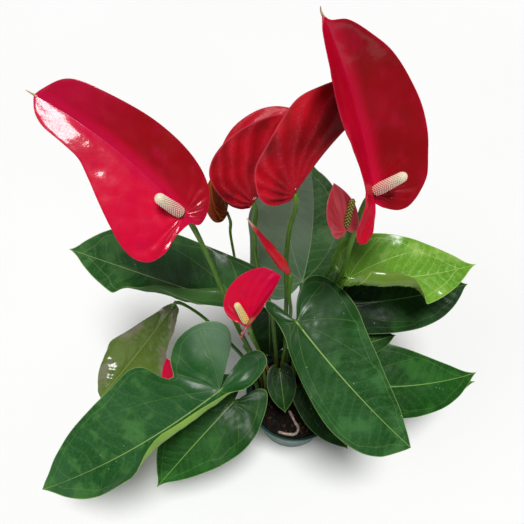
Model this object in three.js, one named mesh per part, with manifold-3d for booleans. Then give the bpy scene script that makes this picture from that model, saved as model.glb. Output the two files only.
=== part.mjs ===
// Potted anthurium: a nursery pot of soil, fourteen heart-shaped leaves, eight flowers and a bud.
// Millimetres, +Z up. The origin is the centre of the pot's underside, and the pot's axis is +Z.
// +X is the viewer's right and -Y is towards the viewer.

import * as THREE from 'three'
import { mergeVertices } from 'three/addons/utils/BufferGeometryUtils.js'
import Module from 'manifold-3d'

const manifold = await Module()
manifold.setup()

// ---------- driving dimensions ----------

const POT_HEIGHT = 90
const RIM_RADIUS = 60
const RIM_BAND = 11
const RIM_STEP = 2.2
const BASE_RADIUS = 44.5
const BASE_ROUND = 1.2
const POT_WALL = 1.6
const POT_FLOOR = 2.4
const POT_SIDES = 36
const INNER_TOP = RIM_RADIUS - 2 * RIM_STEP - POT_WALL
const INNER_BASE = BASE_RADIUS - POT_WALL
const BASE_RECESS = 2
const REST_PAD_RADIUS = 15
const FOOT_RING_WIDTH = 5
const DRAIN_HOLES = 6
const DRAIN_RADIUS = 4
const DRAIN_CIRCLE = 27
const DRAIN_SIDES = 10

const SOIL_TOP = 78
const SOIL_RELIEF = 0.7
const SOIL_RINGS = 5
const CLEARANCE = 0.35

const STEM_BOTTOM = 52
const BORE_GAP = 0.45
const STEM_SIDES = 6
const STEM_STEPS = 7
const ROUTE_POINTS = 120

const LEAF_THICKNESS = 1.1
const SPATHE_THICKNESS = 1.1
const LEAF_RIB_DEPTH = 1.3
const SPATHE_RIB_DEPTH = 0.4

const COLOURS = {
  pot: '#4b6e6a',
  soil: '#2a2019',
  leaf: '#2f6a37',
  youngLeaf: '#6fae2b',
  hangingLeaf: '#6f8f3c',
  backLeaf: '#4f7f5c',
  stalk: '#5d7a2c',
  spathe: '#c20a2c',
  agedSpathe: '#b23a48',
  oldSpathe: '#8a3a1e',
  freshSpadix: '#f0dcae',
  ripeSpadix: '#5f6f2c',
  shoot: '#b59a5a',
  root: '#b29786',
}

const v3 = (p) => new THREE.Vector3(...p)
const radians = THREE.MathUtils.degToRad
const mix = THREE.MathUtils.lerp
const clamp = THREE.MathUtils.clamp
const smooth = (t) => THREE.MathUtils.smoothstep(t, 0, 1)

// A value along the midrib: a plain number, or [place, value] pairs with smooth steps between.
function along(keys, s) {
  if (typeof keys === 'number') return keys
  if (s <= keys[0][0]) return keys[0][1]
  for (let i = 1; i < keys.length; i++) {
    const [s0, a] = keys[i - 1]
    const [s1, b] = keys[i]
    if (s <= s1) return mix(a, b, smooth((s - s0) / (s1 - s0)))
  }
  return keys[keys.length - 1][1]
}

// ---------- solids ----------

function geometryFrom(positions, indices) {
  const geometry = new THREE.BufferGeometry()
  geometry.setAttribute('position', new THREE.Float32BufferAttribute(positions, 3))
  geometry.setIndex(indices)
  return geometry
}

function toSolid(geometry) {
  const bare = geometry.clone()
  bare.deleteAttribute('normal')
  bare.deleteAttribute('uv')
  const merged = mergeVertices(bare, 1e-4)
  const corner = merged.index.array
  const kept = []
  for (let i = 0; i < corner.length; i += 3) {
    const [a, b, c] = [corner[i], corner[i + 1], corner[i + 2]]
    if (a !== b && b !== c && c !== a) kept.push(a, b, c)
  }
  return new manifold.Manifold(new manifold.Mesh({
    numProp: 3,
    vertProperties: new Float32Array(merged.attributes.position.array),
    triVerts: new Uint32Array(kept),
  }))
}

function toGeometry(solid) {
  const mesh = solid.getMesh()
  return geometryFrom(Array.from(mesh.vertProperties), Array.from(mesh.triVerts))
}

// A closed tube through the points, with a radius for each point and flat ends.
function tube(points, radii, sides, relief = () => 1) {
  const tangents = points.map((p, i) => {
    const before = points[Math.max(i - 1, 0)]
    const after = points[Math.min(i + 1, points.length - 1)]
    return after.clone().sub(before).normalize()
  })
  const side = new THREE.Vector3(1, 0, 0)
  const positions = []
  points.forEach((p, i) => {
    side.addScaledVector(tangents[i], -side.dot(tangents[i])).normalize()
    const up = tangents[i].clone().cross(side)
    for (let k = 0; k < sides; k++) {
      const angle = (2 * Math.PI * k) / sides
      const r = radii[i] * relief(i, k)
      const q = p.clone()
      q.addScaledVector(side, r * Math.cos(angle)).addScaledVector(up, r * Math.sin(angle))
      positions.push(q.x, q.y, q.z)
    }
  })
  const indices = []
  for (let i = 0; i < points.length - 1; i++) {
    for (let k = 0; k < sides; k++) {
      const a = i * sides + k
      const b = i * sides + ((k + 1) % sides)
      indices.push(a, b, b + sides, a, b + sides, a + sides)
    }
  }
  const last = (points.length - 1) * sides
  for (let k = 1; k < sides - 1; k++) {
    indices.push(0, k + 1, k)
    indices.push(last, last + k, last + k + 1)
  }
  return geometryFrom(positions, indices)
}

// ---------- blades: one form for the leaves and the spathes ----------

// Half outlines from the tip round the lobe to the sinus: [part of the length, part of the half width].
const LEAF_OUTLINE = [
  [1, 0], [0.972, 0.03], [0.935, 0.1], [0.86, 0.3], [0.72, 0.6], [0.54, 0.86], [0.33, 1],
  [0.12, 0.97], [-0.05, 0.86], [-0.19, 0.64], [-0.26, 0.4], [-0.22, 0.21], [-0.12, 0.09], [0, 0],
]
const SPATHE_OUTLINE = [
  [1, 0], [0.985, 0.03], [0.95, 0.15], [0.86, 0.43], [0.7, 0.76], [0.5, 0.96], [0.3, 1],
  [0.1, 0.92], [-0.07, 0.75], [-0.18, 0.52], [-0.2, 0.3], [-0.16, 0.12], [-0.08, 0],
]
const VEIN_SLANT = 0.12
const RIB_TAPER = 0.15
const JOINT_SIZE = 3
const ARC_STEPS = 12
const SINUS_END = 0.01
const WAVES = 2.5
const WAVE_SHIFT = 1.9

// The blade's own axes: ahead from joint to tip, up out of its upper face, left across it.
function bladeAxes(blade) {
  const joint = v3(blade.joint)
  const reach = v3(blade.tip).sub(joint)
  const length = reach.length()
  const ahead = reach.normalize()
  const up = v3(blade.face)
  up.addScaledVector(ahead, -up.dot(ahead)).normalize()
  const left = up.clone().cross(ahead)
  return { joint, length, ahead, up, left }
}

// A point of the midrib, with the directions along, out of and across the blade there.
function midrib(blade, axes, s) {
  const { joint, length, ahead, up, left } = axes
  const bow = 4 * (blade.bow ?? 0) * length
  const sweep = 4 * (blade.sweep ?? 0) * length
  const t = clamp(s, 0, 1)
  const point = joint.clone().addScaledVector(ahead, length * t)
  point.addScaledVector(up, bow * t * (1 - t)).addScaledVector(left, sweep * t * (1 - t))
  const tangent = ahead.clone().multiplyScalar(length)
  tangent.addScaledVector(up, bow * (1 - 2 * t)).addScaledVector(left, sweep * (1 - 2 * t)).normalize()
  const out = up.clone().addScaledVector(tangent, -up.dot(tangent)).normalize()
  const across = out.clone().cross(tangent)
  return { point, tangent, out, across }
}

// A point of the blade's middle surface: s along the length, w across, from 0 to the half width.
function bladePoint(blade, axes, hand, s, w) {
  const side = blade.sides[hand]
  const { point, tangent, out, across } = midrib(blade, axes, s)
  if (s < 0) point.addScaledVector(tangent, s * axes.length)
  let x = 0
  let y = 0
  for (let i = 0; i < ARC_STEPS; i++) {
    const u = (((i + 0.5) / ARC_STEPS) * w) / side.half
    const angle = radians(along(side.fold ?? 0, s) + along(side.curl ?? 0, s) * u)
    x += (Math.cos(angle) * w) / ARC_STEPS
    y += (Math.sin(angle) * w) / ARC_STEPS
  }
  const turns = (blade.waves ?? WAVES) * s
  y += (blade.wave ?? 0) * Math.sin(2 * Math.PI * turns + WAVE_SHIFT * hand) * (w / side.half) ** 2
  return point.addScaledVector(across, hand === 0 ? x : -x).addScaledVector(out, y)
}

// Evenly spaced points round a half outline: x is the place along the blade, y the part of the width.
function spacedOutline(corners, columns) {
  const points = corners.map(([s, w]) => new THREE.Vector3(s, w, 0))
  const curve = new THREE.CatmullRomCurve3(points, false, 'centripetal')
  curve.arcLengthDivisions = 400
  return curve.getSpacedPoints(columns)
}

// The margin of one side, from its own outline or from the family's with its fullness and lobe.
function margin(side, outline, columns) {
  const shaped = ([s, w]) => [s > 0 ? s ** (side.full ?? 1) : s * (side.lobe ?? 1), w]
  return spacedOutline(side.outline ?? outline.map(shaped), columns)
}

// Both halves of the blade as one triangulated middle surface.
function middleSurface(blade, outline, columns, rows) {
  const axes = bladeAxes(blade)
  const points = []
  const rib = []
  const triangles = []
  const known = new Map()
  const place = (p, row, root) => {
    const key = `${p.x.toFixed(3)} ${p.y.toFixed(3)} ${p.z.toFixed(3)}`
    if (!known.has(key)) {
      known.set(key, points.length)
      points.push(p)
      rib.push(row === 0 ? smooth(root / RIB_TAPER) * smooth((1 - root) / RIB_TAPER) : 0)
    }
    return known.get(key)
  }
  const margins = blade.sides.map((side) => margin(side, outline, columns))
  const roots = margins[0].map((p, j) => {
    const lead = (edge) => edge[j].x - VEIN_SLANT * edge[j].y
    return j === 0 ? 1 : clamp((lead(margins[0]) + lead(margins[1])) / 2, 0, 1)
  })
  for (const hand of [0, 1]) {
    const side = blade.sides[hand]
    const grid = margins[hand].map((p, j) => {
      const least = side.wraps ? -1 : 0
      const width = j === 0 || j === columns ? 0 : Math.max(p.y, least) * side.half
      return rows.map((u, row) => {
        const q = bladePoint(blade, axes, hand, mix(roots[j], p.x, u), width * u)
        return place(q.distanceTo(axes.joint) < JOINT_SIZE ? axes.joint : q, row, roots[j])
      })
    })
    const open = margins[hand][columns].x < 0 - SINUS_END
    for (let j = 0; j < (open ? columns : columns - 1); j++) {
      for (let k = 0; k < rows.length - 1; k++) {
        const [a, b, c, d] = [grid[j][k], grid[j + 1][k], grid[j + 1][k + 1], grid[j][k + 1]]
        for (const [p, q, r] of [[a, c, b], [a, d, c]]) {
          if (p === q || q === r || r === p) continue
          triangles.push(hand === 0 ? [p, q, r] : [p, r, q])
        }
      }
    }
  }
  return { points, rib, triangles }
}

// The middle surface given its thickness: both faces are split alike, and a wall runs round the edge.
function bladeGeometry(blade, form, thickness) {
  const { points, rib, triangles } = middleSurface(blade, form.outline, form.columns, form.rows)
  const normals = points.map(() => new THREE.Vector3())
  const edges = new Map()
  for (const [a, b, c] of triangles) {
    const cross = points[b].clone().sub(points[a]).cross(points[c].clone().sub(points[a]))
    for (const corner of [a, b, c]) normals[corner].add(cross)
    for (const [p, q] of [[a, b], [b, c], [c, a]]) {
      if (edges.has(`${q} ${p}`)) edges.delete(`${q} ${p}`)
      else edges.set(`${p} ${q}`, [p, q])
    }
  }
  const positions = []
  points.forEach((p, i) => {
    const q = p.clone().addScaledVector(normals[i].normalize(), thickness / 2)
    positions.push(q.x, q.y, q.z)
  })
  points.forEach((p, i) => {
    const depth = thickness / 2 + rib[i] * form.ribDepth
    const q = p.clone().addScaledVector(normals[i], -depth)
    positions.push(q.x, q.y, q.z)
  })
  const under = points.length
  const indices = []
  for (const [a, b, c] of triangles) indices.push(a, b, c, under + a, under + c, under + b)
  for (const [p, q] of edges.values()) indices.push(q, p, under + p, q, under + p, under + q)
  return geometryFrom(positions, indices)
}

const LEAF_FORMS = {
  large: { outline: LEAF_OUTLINE, columns: 13, rows: [0, 0.1, 0.42, 0.74, 1], ribDepth: LEAF_RIB_DEPTH },
  small: { outline: LEAF_OUTLINE, columns: 10, rows: [0, 0.14, 0.55, 1], ribDepth: LEAF_RIB_DEPTH },
}
const SPATHE_FORMS = {
  large: { outline: SPATHE_OUTLINE, columns: 14, rows: [0, 0.34, 0.7, 1], ribDepth: SPATHE_RIB_DEPTH },
  small: { outline: SPATHE_OUTLINE, columns: 10, rows: [0, 0.5, 1], ribDepth: SPATHE_RIB_DEPTH },
}

// ---------- stems ----------

// The route of a stem: straight up out of the soil, through its via points, to its end.
function stemRoute(stem, ending, steps = STEM_STEPS) {
  const [x, y] = stem.foot
  const guide = [[x, y, STEM_BOTTOM], [x, y, SOIL_TOP + 2], ...stem.via].map(v3)
  const curve = new THREE.CatmullRomCurve3([...guide, ...ending], false, 'centripetal')
  const route = curve.getPoints(ROUTE_POINTS).filter((p) => p.z > SOIL_TOP + 2)
  const points = [guide[0], guide[1]]
  for (let i = 1; i <= steps; i++) points.push(route[Math.round((i * (route.length - 1)) / steps)])
  return points
}

function stemSolid(points, footRadius, topRadius) {
  const radii = points.map((p, i) => mix(footRadius, topRadius, i / (points.length - 1)))
  return toSolid(tube(points, radii, STEM_SIDES))
}

// ---------- leaves ----------

const PETIOLE_RADII = [2.5, 1.5]
const PETIOLE_REACH = 0.05
const PETIOLE_DEPTH = 0.9
const NECK_BACK = 3
const NECK_DROP = 4

// Each leaf has its joint, its tip and the way its upper face looks. sides[0] is the left half,
// looking from joint to tip. fold and curl are degrees: the slope at the midrib, and how much it
// rises by the margin. full below 1 brings the widest place towards the tip.
const LEAVES = [
  {
    name: 'leaf_front_right', colour: 'leaf',
    joint: [-5, 13, 268], tip: [113, -92, 190], face: [0.1, -0.35, 1], bow: 0.04, sweep: -0.03, wave: 2,
    sides: [
      {
        half: 60, fold: 4, curl: -10,
        outline: [
          [1, 0], [0.97, 0.06], [0.9, 0.18], [0.745, 0.41], [0.52, 0.64], [0.36, 0.8], [0.25, 0.91],
          [0.16, 0.98], [0.04, 1], [-0.067, 0.94], [-0.13, 0.84], [-0.165, 0.66], [-0.15, 0.44],
          [-0.09, 0.2], [0, 0],
        ],
      },
      {
        half: 44, fold: [[-0.2, -12], [0.1, -12], [0.5, -4], [1, 0]], curl: -10,
        outline: [
          [1, 0], [0.985, 0.1], [0.95, 0.3], [0.876, 0.66], [0.78, 0.88], [0.68, 0.98], [0.58, 1],
          [0.46, 0.95], [0.34, 0.84], [0.22, 0.7], [0.11, 0.56], [0.02, 0.42], [-0.08, 0.36],
          [-0.16, 0.38], [-0.2, 0.22], [-0.12, 0.09], [0, 0],
        ],
      },
    ],
    stem: { foot: [-8, 8], via: [[-4, 9, 150], [-7, 12, 235]] },
  },
  {
    name: 'leaf_upper_left', colour: 'leaf',
    joint: [-59, 32, 262], tip: [-251, 104, 262], face: [0, -0.5, 1], bow: 0.03, wave: 2,
    sides: [
      {
        half: 40, full: 0.85, lobe: 0.3, fold: [[0, 40], [0.25, 10], [1, 5]],
        curl: [[-0.05, 110], [0.12, 200], [0.35, 150], [0.55, 110], [0.68, 30], [1, 10]],
      },
      { half: 51, full: 0.6, lobe: 0.25, fold: 12, curl: -14 },
    ],
    stem: { foot: [-37, 15], via: [[-40, 18, 150], [-54, 28, 235]] },
  },
  {
    name: 'leaf_front_left', colour: 'leaf',
    joint: [-84, -40, 215], tip: [-279, -122, 130], face: [-0.1, -0.2, 1], bow: 0.05, sweep: 0.05,
    sides: [
      {
        half: 40, wraps: true, fold: [[-0.2, 0], [0, 5], [0.5, 5], [0.7, 20], [1, 15]],
        curl: [[-0.14, 0], [-0.02, 190], [0.27, 190], [0.5, 62], [0.7, 10], [1, 0]],
        outline: [
          [1, 0], [0.972, 0.06], [0.92, 0.2], [0.84, 0.45], [0.7, 0.75], [0.52, 0.9], [0.32, 0.74],
          [0.12, 0.68], [-0.01, 0.56], [-0.09, 0.42], [-0.17, 0.36], [-0.235, 0.24], [-0.262, 0],
          [-0.245, -0.24], [-0.19, -0.36], [-0.12, -0.28], [0, 0],
        ],
      },
      {
        half: 75, fold: [[-0.2, 28], [0.1, 22], [0.3, 8], [1, 5]], curl: -12,
        outline: [
          [1, 0], [0.975, 0.08], [0.89, 0.36], [0.8, 0.55], [0.68, 0.72], [0.55, 0.84], [0.45, 0.92],
          [0.32, 1], [0.24, 0.9], [0.18, 0.62], [0.14, 0.52], [0.09, 0.78], [0.01, 0.93], [-0.07, 0.94],
          [-0.15, 0.86], [-0.2, 0.68], [-0.18, 0.46], [-0.1, 0.24], [0, 0],
        ],
      },
    ],
    stem: { foot: [-44, -3], via: [[-46, -6, 130], [-50, -16, 172], [-66, -31, 200]] },
  },
  {
    name: 'leaf_front', colour: 'leaf',
    joint: [-73, -32, 150], tip: [-158, -116, 110], face: [0, -0.2, 1], bow: 0.05, wave: 2,
    sides: [
      { half: 45, full: 1.35, lobe: 1.1, fold: -4, curl: -8 },
      { half: 42, full: 0.8, lobe: 0.8, fold: 8 },
    ],
    stem: { foot: [-35, -13], via: [[-39, -16, 105], [-58, -25, 134]] },
  },
  {
    name: 'leaf_center', colour: 'leaf', size: 'small',
    joint: [-19, 4, 150], tip: [-13, -37, 128], face: [0, -0.6, 1], bow: 0.04,
    sides: [{ half: 17, lobe: 0.8, fold: 8 }, { half: 17, lobe: 0.8, fold: 8 }],
    stem: { foot: [-24, 4], via: [[-24, 6, 120]] },
  },
  {
    name: 'leaf_front_small', colour: 'leaf', size: 'small',
    joint: [15, -7, 135], tip: [61, -71, 97], face: [0, -0.3, 1], bow: 0.05,
    sides: [{ half: 30, full: 0.9, lobe: 0.2, fold: 5 }, { half: 27, full: 0.9, lobe: 0.3, fold: 5 }],
    stem: { foot: [1, -13], via: [[2, -13, 105]] },
  },
  {
    name: 'leaf_right', colour: 'leaf',
    joint: [50, -20, 175], tip: [203, -3, 170], face: [0, -0.3, 1], bow: 0.05, sweep: -0.05, wave: 2,
    sides: [
      { half: 52, full: 1.5, lobe: 0.4, fold: 10 },
      { half: 36, full: 0.65, lobe: 0.5, fold: -6, curl: -20 },
    ],
    stem: { foot: [7, 5], via: [[12, 6, 120], [27, 2, 150], [38, -10, 166]] },
  },
  {
    name: 'leaf_right_shaded', colour: 'leaf',
    joint: [45, 57, 220], tip: [190, 78, 230], face: [0, -0.4, 1], bow: 0.03, sweep: -0.03,
    sides: [
      { half: 40, full: 0.7, lobe: 0.4, fold: 6 },
      { half: 38, full: 0.65, lobe: 0.4, fold: 6, curl: [[0, 0], [0.2, 20]] },
    ],
    stem: { foot: [0, 29], via: [[4, 31, 130], [30, 47, 200]] },
  },
  {
    name: 'leaf_right_young', colour: 'youngLeaf',
    joint: [47, 51, 290], tip: [181, 71, 285], face: [0, -0.5, 1], bow: 0.03, sweep: -0.04, wave: 2,
    sides: [
      { half: 46, full: 1.2, lobe: 0.5, fold: 8, curl: -6 },
      {
        half: 34, full: 0.9, lobe: 0.15, fold: [[0, 30], [0.35, 15], [0.5, 8], [1, 5]],
        curl: [[-0.03, 110], [0.14, 190], [0.3, 175], [0.42, 150], [0.56, 10], [1, 0]],
      },
    ],
    stem: { foot: [8, 14], via: [[12, 17, 140], [31, 32, 212], [42, 48, 258]] },
  },
  {
    name: 'leaf_back', colour: 'backLeaf',
    joint: [4, 73, 245], tip: [5, 134, 377], face: [0.1, -1, 0.45], bow: -0.04, sweep: -0.06, wave: 2,
    sides: [
      { half: 67, full: 0.5, lobe: 0.7, fold: 2 },
      { half: 44, full: 0.95, lobe: 0.5, fold: 34, curl: -20 },
    ],
    stem: { foot: [-9, 30], via: [[-7, 34, 130], [3, 60, 205]] },
  },
  {
    name: 'leaf_hanging', colour: 'hangingLeaf',
    joint: [-137, 61, 215], tip: [-227, -23, 140], face: [0.2, 0.55, -0.6], bow: 0.08, wave: 3, waves: 2,
    sides: [
      {
        half: 37, fold: 12,
        outline: [
          [1, 0], [0.97, 0.24], [0.86, 0.6], [0.74, 0.84], [0.65, 1], [0.56, 0.87], [0.38, 0.62], [0.13, 0.3],
          [0.02, 0.1], [0, 0],
        ],
      },
      {
        half: 46, fold: [[0, -20], [1, 10]],
        outline: [
          [1, 0], [0.96, 0.3], [0.8, 0.72], [0.66, 0.92], [0.58, 0.98], [0.5, 0.78], [0.35, 0.55],
          [0.17, 0.42], [0.02, 0.2], [0, 0],
        ],
      },
    ],
    stem: { foot: [-43.5, 11], via: [[-50, 14, 130], [-85, 34, 190], [-113, 49, 219]] },
  },
  {
    name: 'leaf_right_inner', colour: 'leaf', size: 'small',
    joint: [58, 12, 204], tip: [110, 30, 199], face: [0, -0.3, 1], bow: 0.05,
    sides: [{ half: 14, lobe: 0.4, fold: 8 }, { half: 14, lobe: 0.4, fold: 8 }],
    stem: { foot: [14, -1], via: [[22, 4, 110], [29, 13, 172], [44, 14, 196]] },
  },
  {
    name: 'leaf_right_low', colour: 'leaf', size: 'small',
    joint: [78, -30, 145], tip: [211, -3, 140], face: [0, -0.3, 1], bow: 0.05,
    sides: [{ half: 26, lobe: 0.5, fold: 8 }, { half: 24, lobe: 0.5, fold: 8 }],
    stem: { foot: [11, -10], via: [[17, -11, 96], [56, -20, 108]] },
  },
  {
    name: 'leaf_inner', colour: 'leaf', size: 'small',
    joint: [-32, 50, 212], tip: [-30, 43, 104], face: [0, -1, 0.1], bow: 0.04,
    sides: [{ half: 22, full: 0.9, lobe: 0.5, fold: 8 }, { half: 22, full: 0.9, lobe: 0.5, fold: 8 }],
    stem: { foot: [-24, 34], via: [[-24, 45, 97], [-27, 57, 130], [-31, 59, 185]] },
  },
]

function leafSolid(leaf) {
  const axes = bladeAxes(leaf)
  const rib = midrib(leaf, axes, PETIOLE_REACH)
  const end = rib.point.clone().addScaledVector(rib.out, -PETIOLE_DEPTH)
  const neck = axes.joint.clone().addScaledVector(axes.up, -NECK_DROP)
  neck.addScaledVector(axes.ahead, -NECK_BACK)
  const petiole = stemSolid(stemRoute(leaf.stem, [neck, end]), ...PETIOLE_RADII)
  return toSolid(bladeGeometry(leaf, LEAF_FORMS[leaf.size ?? 'large'], LEAF_THICKNESS)).add(petiole)
}

// ---------- flowers ----------

// Each flower is a stalk, a spathe with its own outline and a spadix that carries on the stalk's line.
const FLOWERS = [
  {
    name: 'left', colour: 'spathe',
    joint: [-103, 31, 430], tip: [-209, 89, 500], face: [0, -0.5, 1], bow: 0.03, sweep: -0.045,
    sides: [
      {
        half: 53, fold: 10, curl: -8,
        outline: [
          [1, 0], [0.985, 0.08], [0.943, 0.23], [0.874, 0.33], [0.739, 0.385], [0.628, 0.43], [0.524, 0.56],
          [0.386, 0.74], [0.228, 0.9], [0.086, 0.99], [0, 0.98], [-0.07, 0.87], [-0.1, 0.6], [-0.07, 0.3],
          [-0.07, 0],
        ],
      },
      {
        half: 38, fold: [[0, 8], [1, 28]], curl: -8,
        outline: [
          [1, 0], [0.97, 0.2], [0.883, 0.62], [0.818, 0.73], [0.67, 0.83], [0.44, 0.96], [0.26, 0.98],
          [0.123, 0.92], [0.022, 0.78], [-0.05, 0.58], [-0.1, 0.33], [-0.11, 0.1], [-0.07, 0],
        ],
      },
    ],
    stem: { foot: [-38, 7], via: [[-44, 9, 150], [-66, 14, 262], [-88, 30, 370]], radius: [2.8, 2] },
    spadix: { end: [-119, 27, 458], radius: 5.2, colour: 'freshSpadix' },
  },
  {
    name: 'right', colour: 'spathe',
    joint: [48, 45, 440], tip: [0, 101, 560], face: [0.49, -0.66, 0.57], bow: -0.03, sweep: -0.06,
    sides: [
      {
        half: 44, fold: [[-0.2, 10], [0, 32], [1, 36]],
        outline: [
          [1, 0], [0.96, 0.2], [0.85, 0.46], [0.74, 0.62], [0.62, 0.7], [0.49, 0.68], [0.34, 0.58],
          [0.18, 0.44], [0.05, 0.4], [-0.06, 0.48], [-0.15, 0.62], [-0.22, 0.62], [-0.26, 0.46],
          [-0.23, 0.2], [-0.12, 0.05], [-0.07, 0],
        ],
      },
      {
        half: 47, fold: 35,
        outline: [
          [1, 0], [0.96, 0.06], [0.92, 0.3], [0.81, 0.55], [0.686, 0.76], [0.52, 0.91], [0.38, 0.99],
          [0.245, 1], [0.148, 0.96], [0.04, 0.9], [-0.054, 0.73], [-0.12, 0.52], [-0.13, 0.34], [-0.1, 0.12],
          [-0.07, 0],
        ],
      },
    ],
    stem: {
      foot: [-3, 13], radius: [2.8, 2],
      via: [[2, 17, 150], [30, 52, 245], [36, 56, 272], [38, 47, 305], [36, 31, 390]],
    },
    spadix: { end: [66, 36, 472], radius: 4.8, colour: 'freshSpadix' },
  },
  {
    name: 'back_left', colour: 'spathe', lean: 0.35,
    joint: [-47, 72, 391], tip: [22, 133, 428], face: [-0.694, 0.48, 0.53], bow: 0.04,
    sides: [
      {
        half: 62, fold: 36, curl: 56,
        outline: [
          [1, 0], [0.97, 0.16], [0.87, 0.5], [0.76, 0.76], [0.64, 0.9], [0.49, 0.98], [0.36, 1],
          [0.2, 0.94], [0.05, 0.8], [-0.08, 0.6], [-0.15, 0.35], [-0.12, 0.12], [-0.07, 0],
        ],
      },
      {
        half: 61, fold: 36, curl: 56,
        outline: [
          [1, 0], [0.95, 0.14], [0.84, 0.38], [0.73, 0.56], [0.615, 0.74], [0.48, 0.86], [0.32, 0.96],
          [0.19, 1], [0.06, 0.99], [-0.05, 0.9], [-0.12, 0.7], [-0.145, 0.46], [-0.11, 0.22], [-0.06, 0.07],
          [-0.07, 0],
        ],
      },
    ],
    stem: {
      foot: [-22, 22], radius: [2.6, 2],
      via: [[-23, 24, 150], [-34, 43, 268], [-46, 58, 315], [-47, 70, 355]],
    },
    spadix: { end: [-58, 90, 410], radius: 4.2, colour: 'freshSpadix' },
  },
  {
    name: 'back_right', colour: 'spathe', lean: 0.35,
    joint: [-14, 44, 440], tip: [60, 113, 482], face: [-0.735, 0.521, 0.435], bow: 0.05,
    sides: [
      {
        half: 49, fold: 36, curl: 56,
        outline: [
          [1, 0], [0.96, 0.2], [0.87, 0.52], [0.745, 0.8], [0.615, 0.93], [0.46, 1], [0.31, 0.97],
          [0.13, 0.9], [-0.01, 0.8], [-0.1, 0.6], [-0.14, 0.3], [-0.1, 0.1], [-0.07, 0],
        ],
      },
      {
        half: 49, fold: 36, curl: 56,
        outline: [
          [1, 0], [0.97, 0.12], [0.87, 0.45], [0.745, 0.72], [0.615, 0.87], [0.46, 1], [0.31, 0.98],
          [0.13, 0.93], [-0.01, 0.9], [-0.11, 0.77], [-0.18, 0.57], [-0.17, 0.3], [-0.1, 0.1], [-0.07, 0],
        ],
      },
    ],
    stem: {
      foot: [-14, 23], radius: [2.6, 2],
      via: [[-13, 26, 150], [-15, 40, 270], [-17, 49, 330], [-16, 46, 390]],
    },
    spadix: { end: [-29, 62, 455], radius: 4.2, colour: 'freshSpadix' },
  },
  {
    name: 'front', colour: 'spathe', size: 'small',
    joint: [-53, -22, 340], tip: [-24, 3, 380], face: [-0.7, -0.3, 0.6], bow: 0.02,
    sides: [
      {
        half: 30, fold: 42,
        outline: [
          [1, 0], [0.99, 0.28], [0.93, 0.56], [0.77, 0.8], [0.545, 0.97], [0.32, 1], [0.11, 0.9],
          [-0.03, 0.7], [-0.08, 0.45], [-0.07, 0.2], [-0.07, 0],
        ],
      },
      { half: 30, full: 0.8, lobe: 0.6, fold: 46 },
    ],
    stem: { foot: [-36, -1], via: [[-36, 1, 130], [-43, 7, 205], [-50, -8, 280]], radius: [2.2, 1.6] },
    spadix: { end: [-62, -14, 363], radius: 3.6, colour: 'freshSpadix' },
  },
  {
    name: 'aged', colour: 'agedSpathe', size: 'small',
    joint: [30, 36, 403], tip: [18, 58, 435], face: [0.1, -0.5, 0.8], bow: 0.02,
    sides: [{ half: 21, lobe: 0.5, fold: 38 }, { half: 14, lobe: 0.5, fold: 46 }],
    stem: {
      foot: [1, 20], radius: [2, 1.4],
      via: [[4, 24, 150], [20, 54, 240], [26, 62, 272], [29, 56, 302], [29, 42, 370]],
    },
    spadix: { end: [33, 45, 431], radius: 3.2, colour: 'ripeSpadix' },
  },
  {
    name: 'old', colour: 'oldSpathe', size: 'small',
    joint: [-73, 84, 360], tip: [-71, 134, 375], face: [-0.84, 0.35, 0.41], bow: 0,
    sides: [{ half: 24, fold: 42, curl: 16 }, { half: 28, fold: 42, curl: 16 }],
    stem: {
      foot: [-32, 29], radius: [1.8, 1.3],
      via: [[-38, 50, 118], [-52, 64, 165], [-64, 70, 230], [-69, 82, 284], [-71, 81, 330]],
    },
    spadix: { end: [-82, 95, 376], radius: 2.6, colour: 'ripeSpadix' },
  },
  {
    name: 'low', colour: 'spathe', size: 'small',
    joint: [-128, -30, 130], tip: [-149, 12, 176], face: [0, -0.6, 1], bow: 0.02,
    sides: [{ half: 17, fold: 20 }, { half: 17, fold: 20 }],
    stem: { foot: [-42, -10], via: [[-60, -14, 103], [-106, -29, 112]], radius: [1.8, 1.3] },
    spadix: { end: [-133, -30, 149], radius: 2.4, colour: 'freshSpadix' },
  },
]

const SPADIX_SIDES = 8
const SPADIX_STEPS = 9
const FLORET_HIGH = 1.07
const FLORET_LOW = 0.95
const SPADIX_FOOT = 0.85
const SPADIX_TAPER = 0.25
const BLUNT_END = 0.14
const NECK_LENGTH = 12
const JOINT_GAP = 2

// A blunt tapering finger whose florets are a raised check.
function spadixSolid(foot, spadix) {
  const points = []
  const radii = []
  for (let i = 0; i <= SPADIX_STEPS; i++) {
    const t = i / SPADIX_STEPS
    points.push(foot.clone().lerp(v3(spadix.end), t))
    const blunt = Math.sqrt(1 - 0.8 * Math.max(0, (t - 1 + BLUNT_END) / BLUNT_END) ** 2)
    const body = mix(SPADIX_FOOT, 1, smooth(t / 0.3)) * (1 - SPADIX_TAPER * t)
    radii.push(spadix.radius * body * blunt)
  }
  const florets = (i, k) => ((i + k) % 2 ? FLORET_HIGH : FLORET_LOW)
  return toSolid(tube(points, radii, SPADIX_SIDES, florets))
}

function largestPiece(solid) {
  const pieces = solid.decompose()
  return pieces.reduce((best, piece) => (piece.volume() > best.volume() ? piece : best))
}

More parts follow.
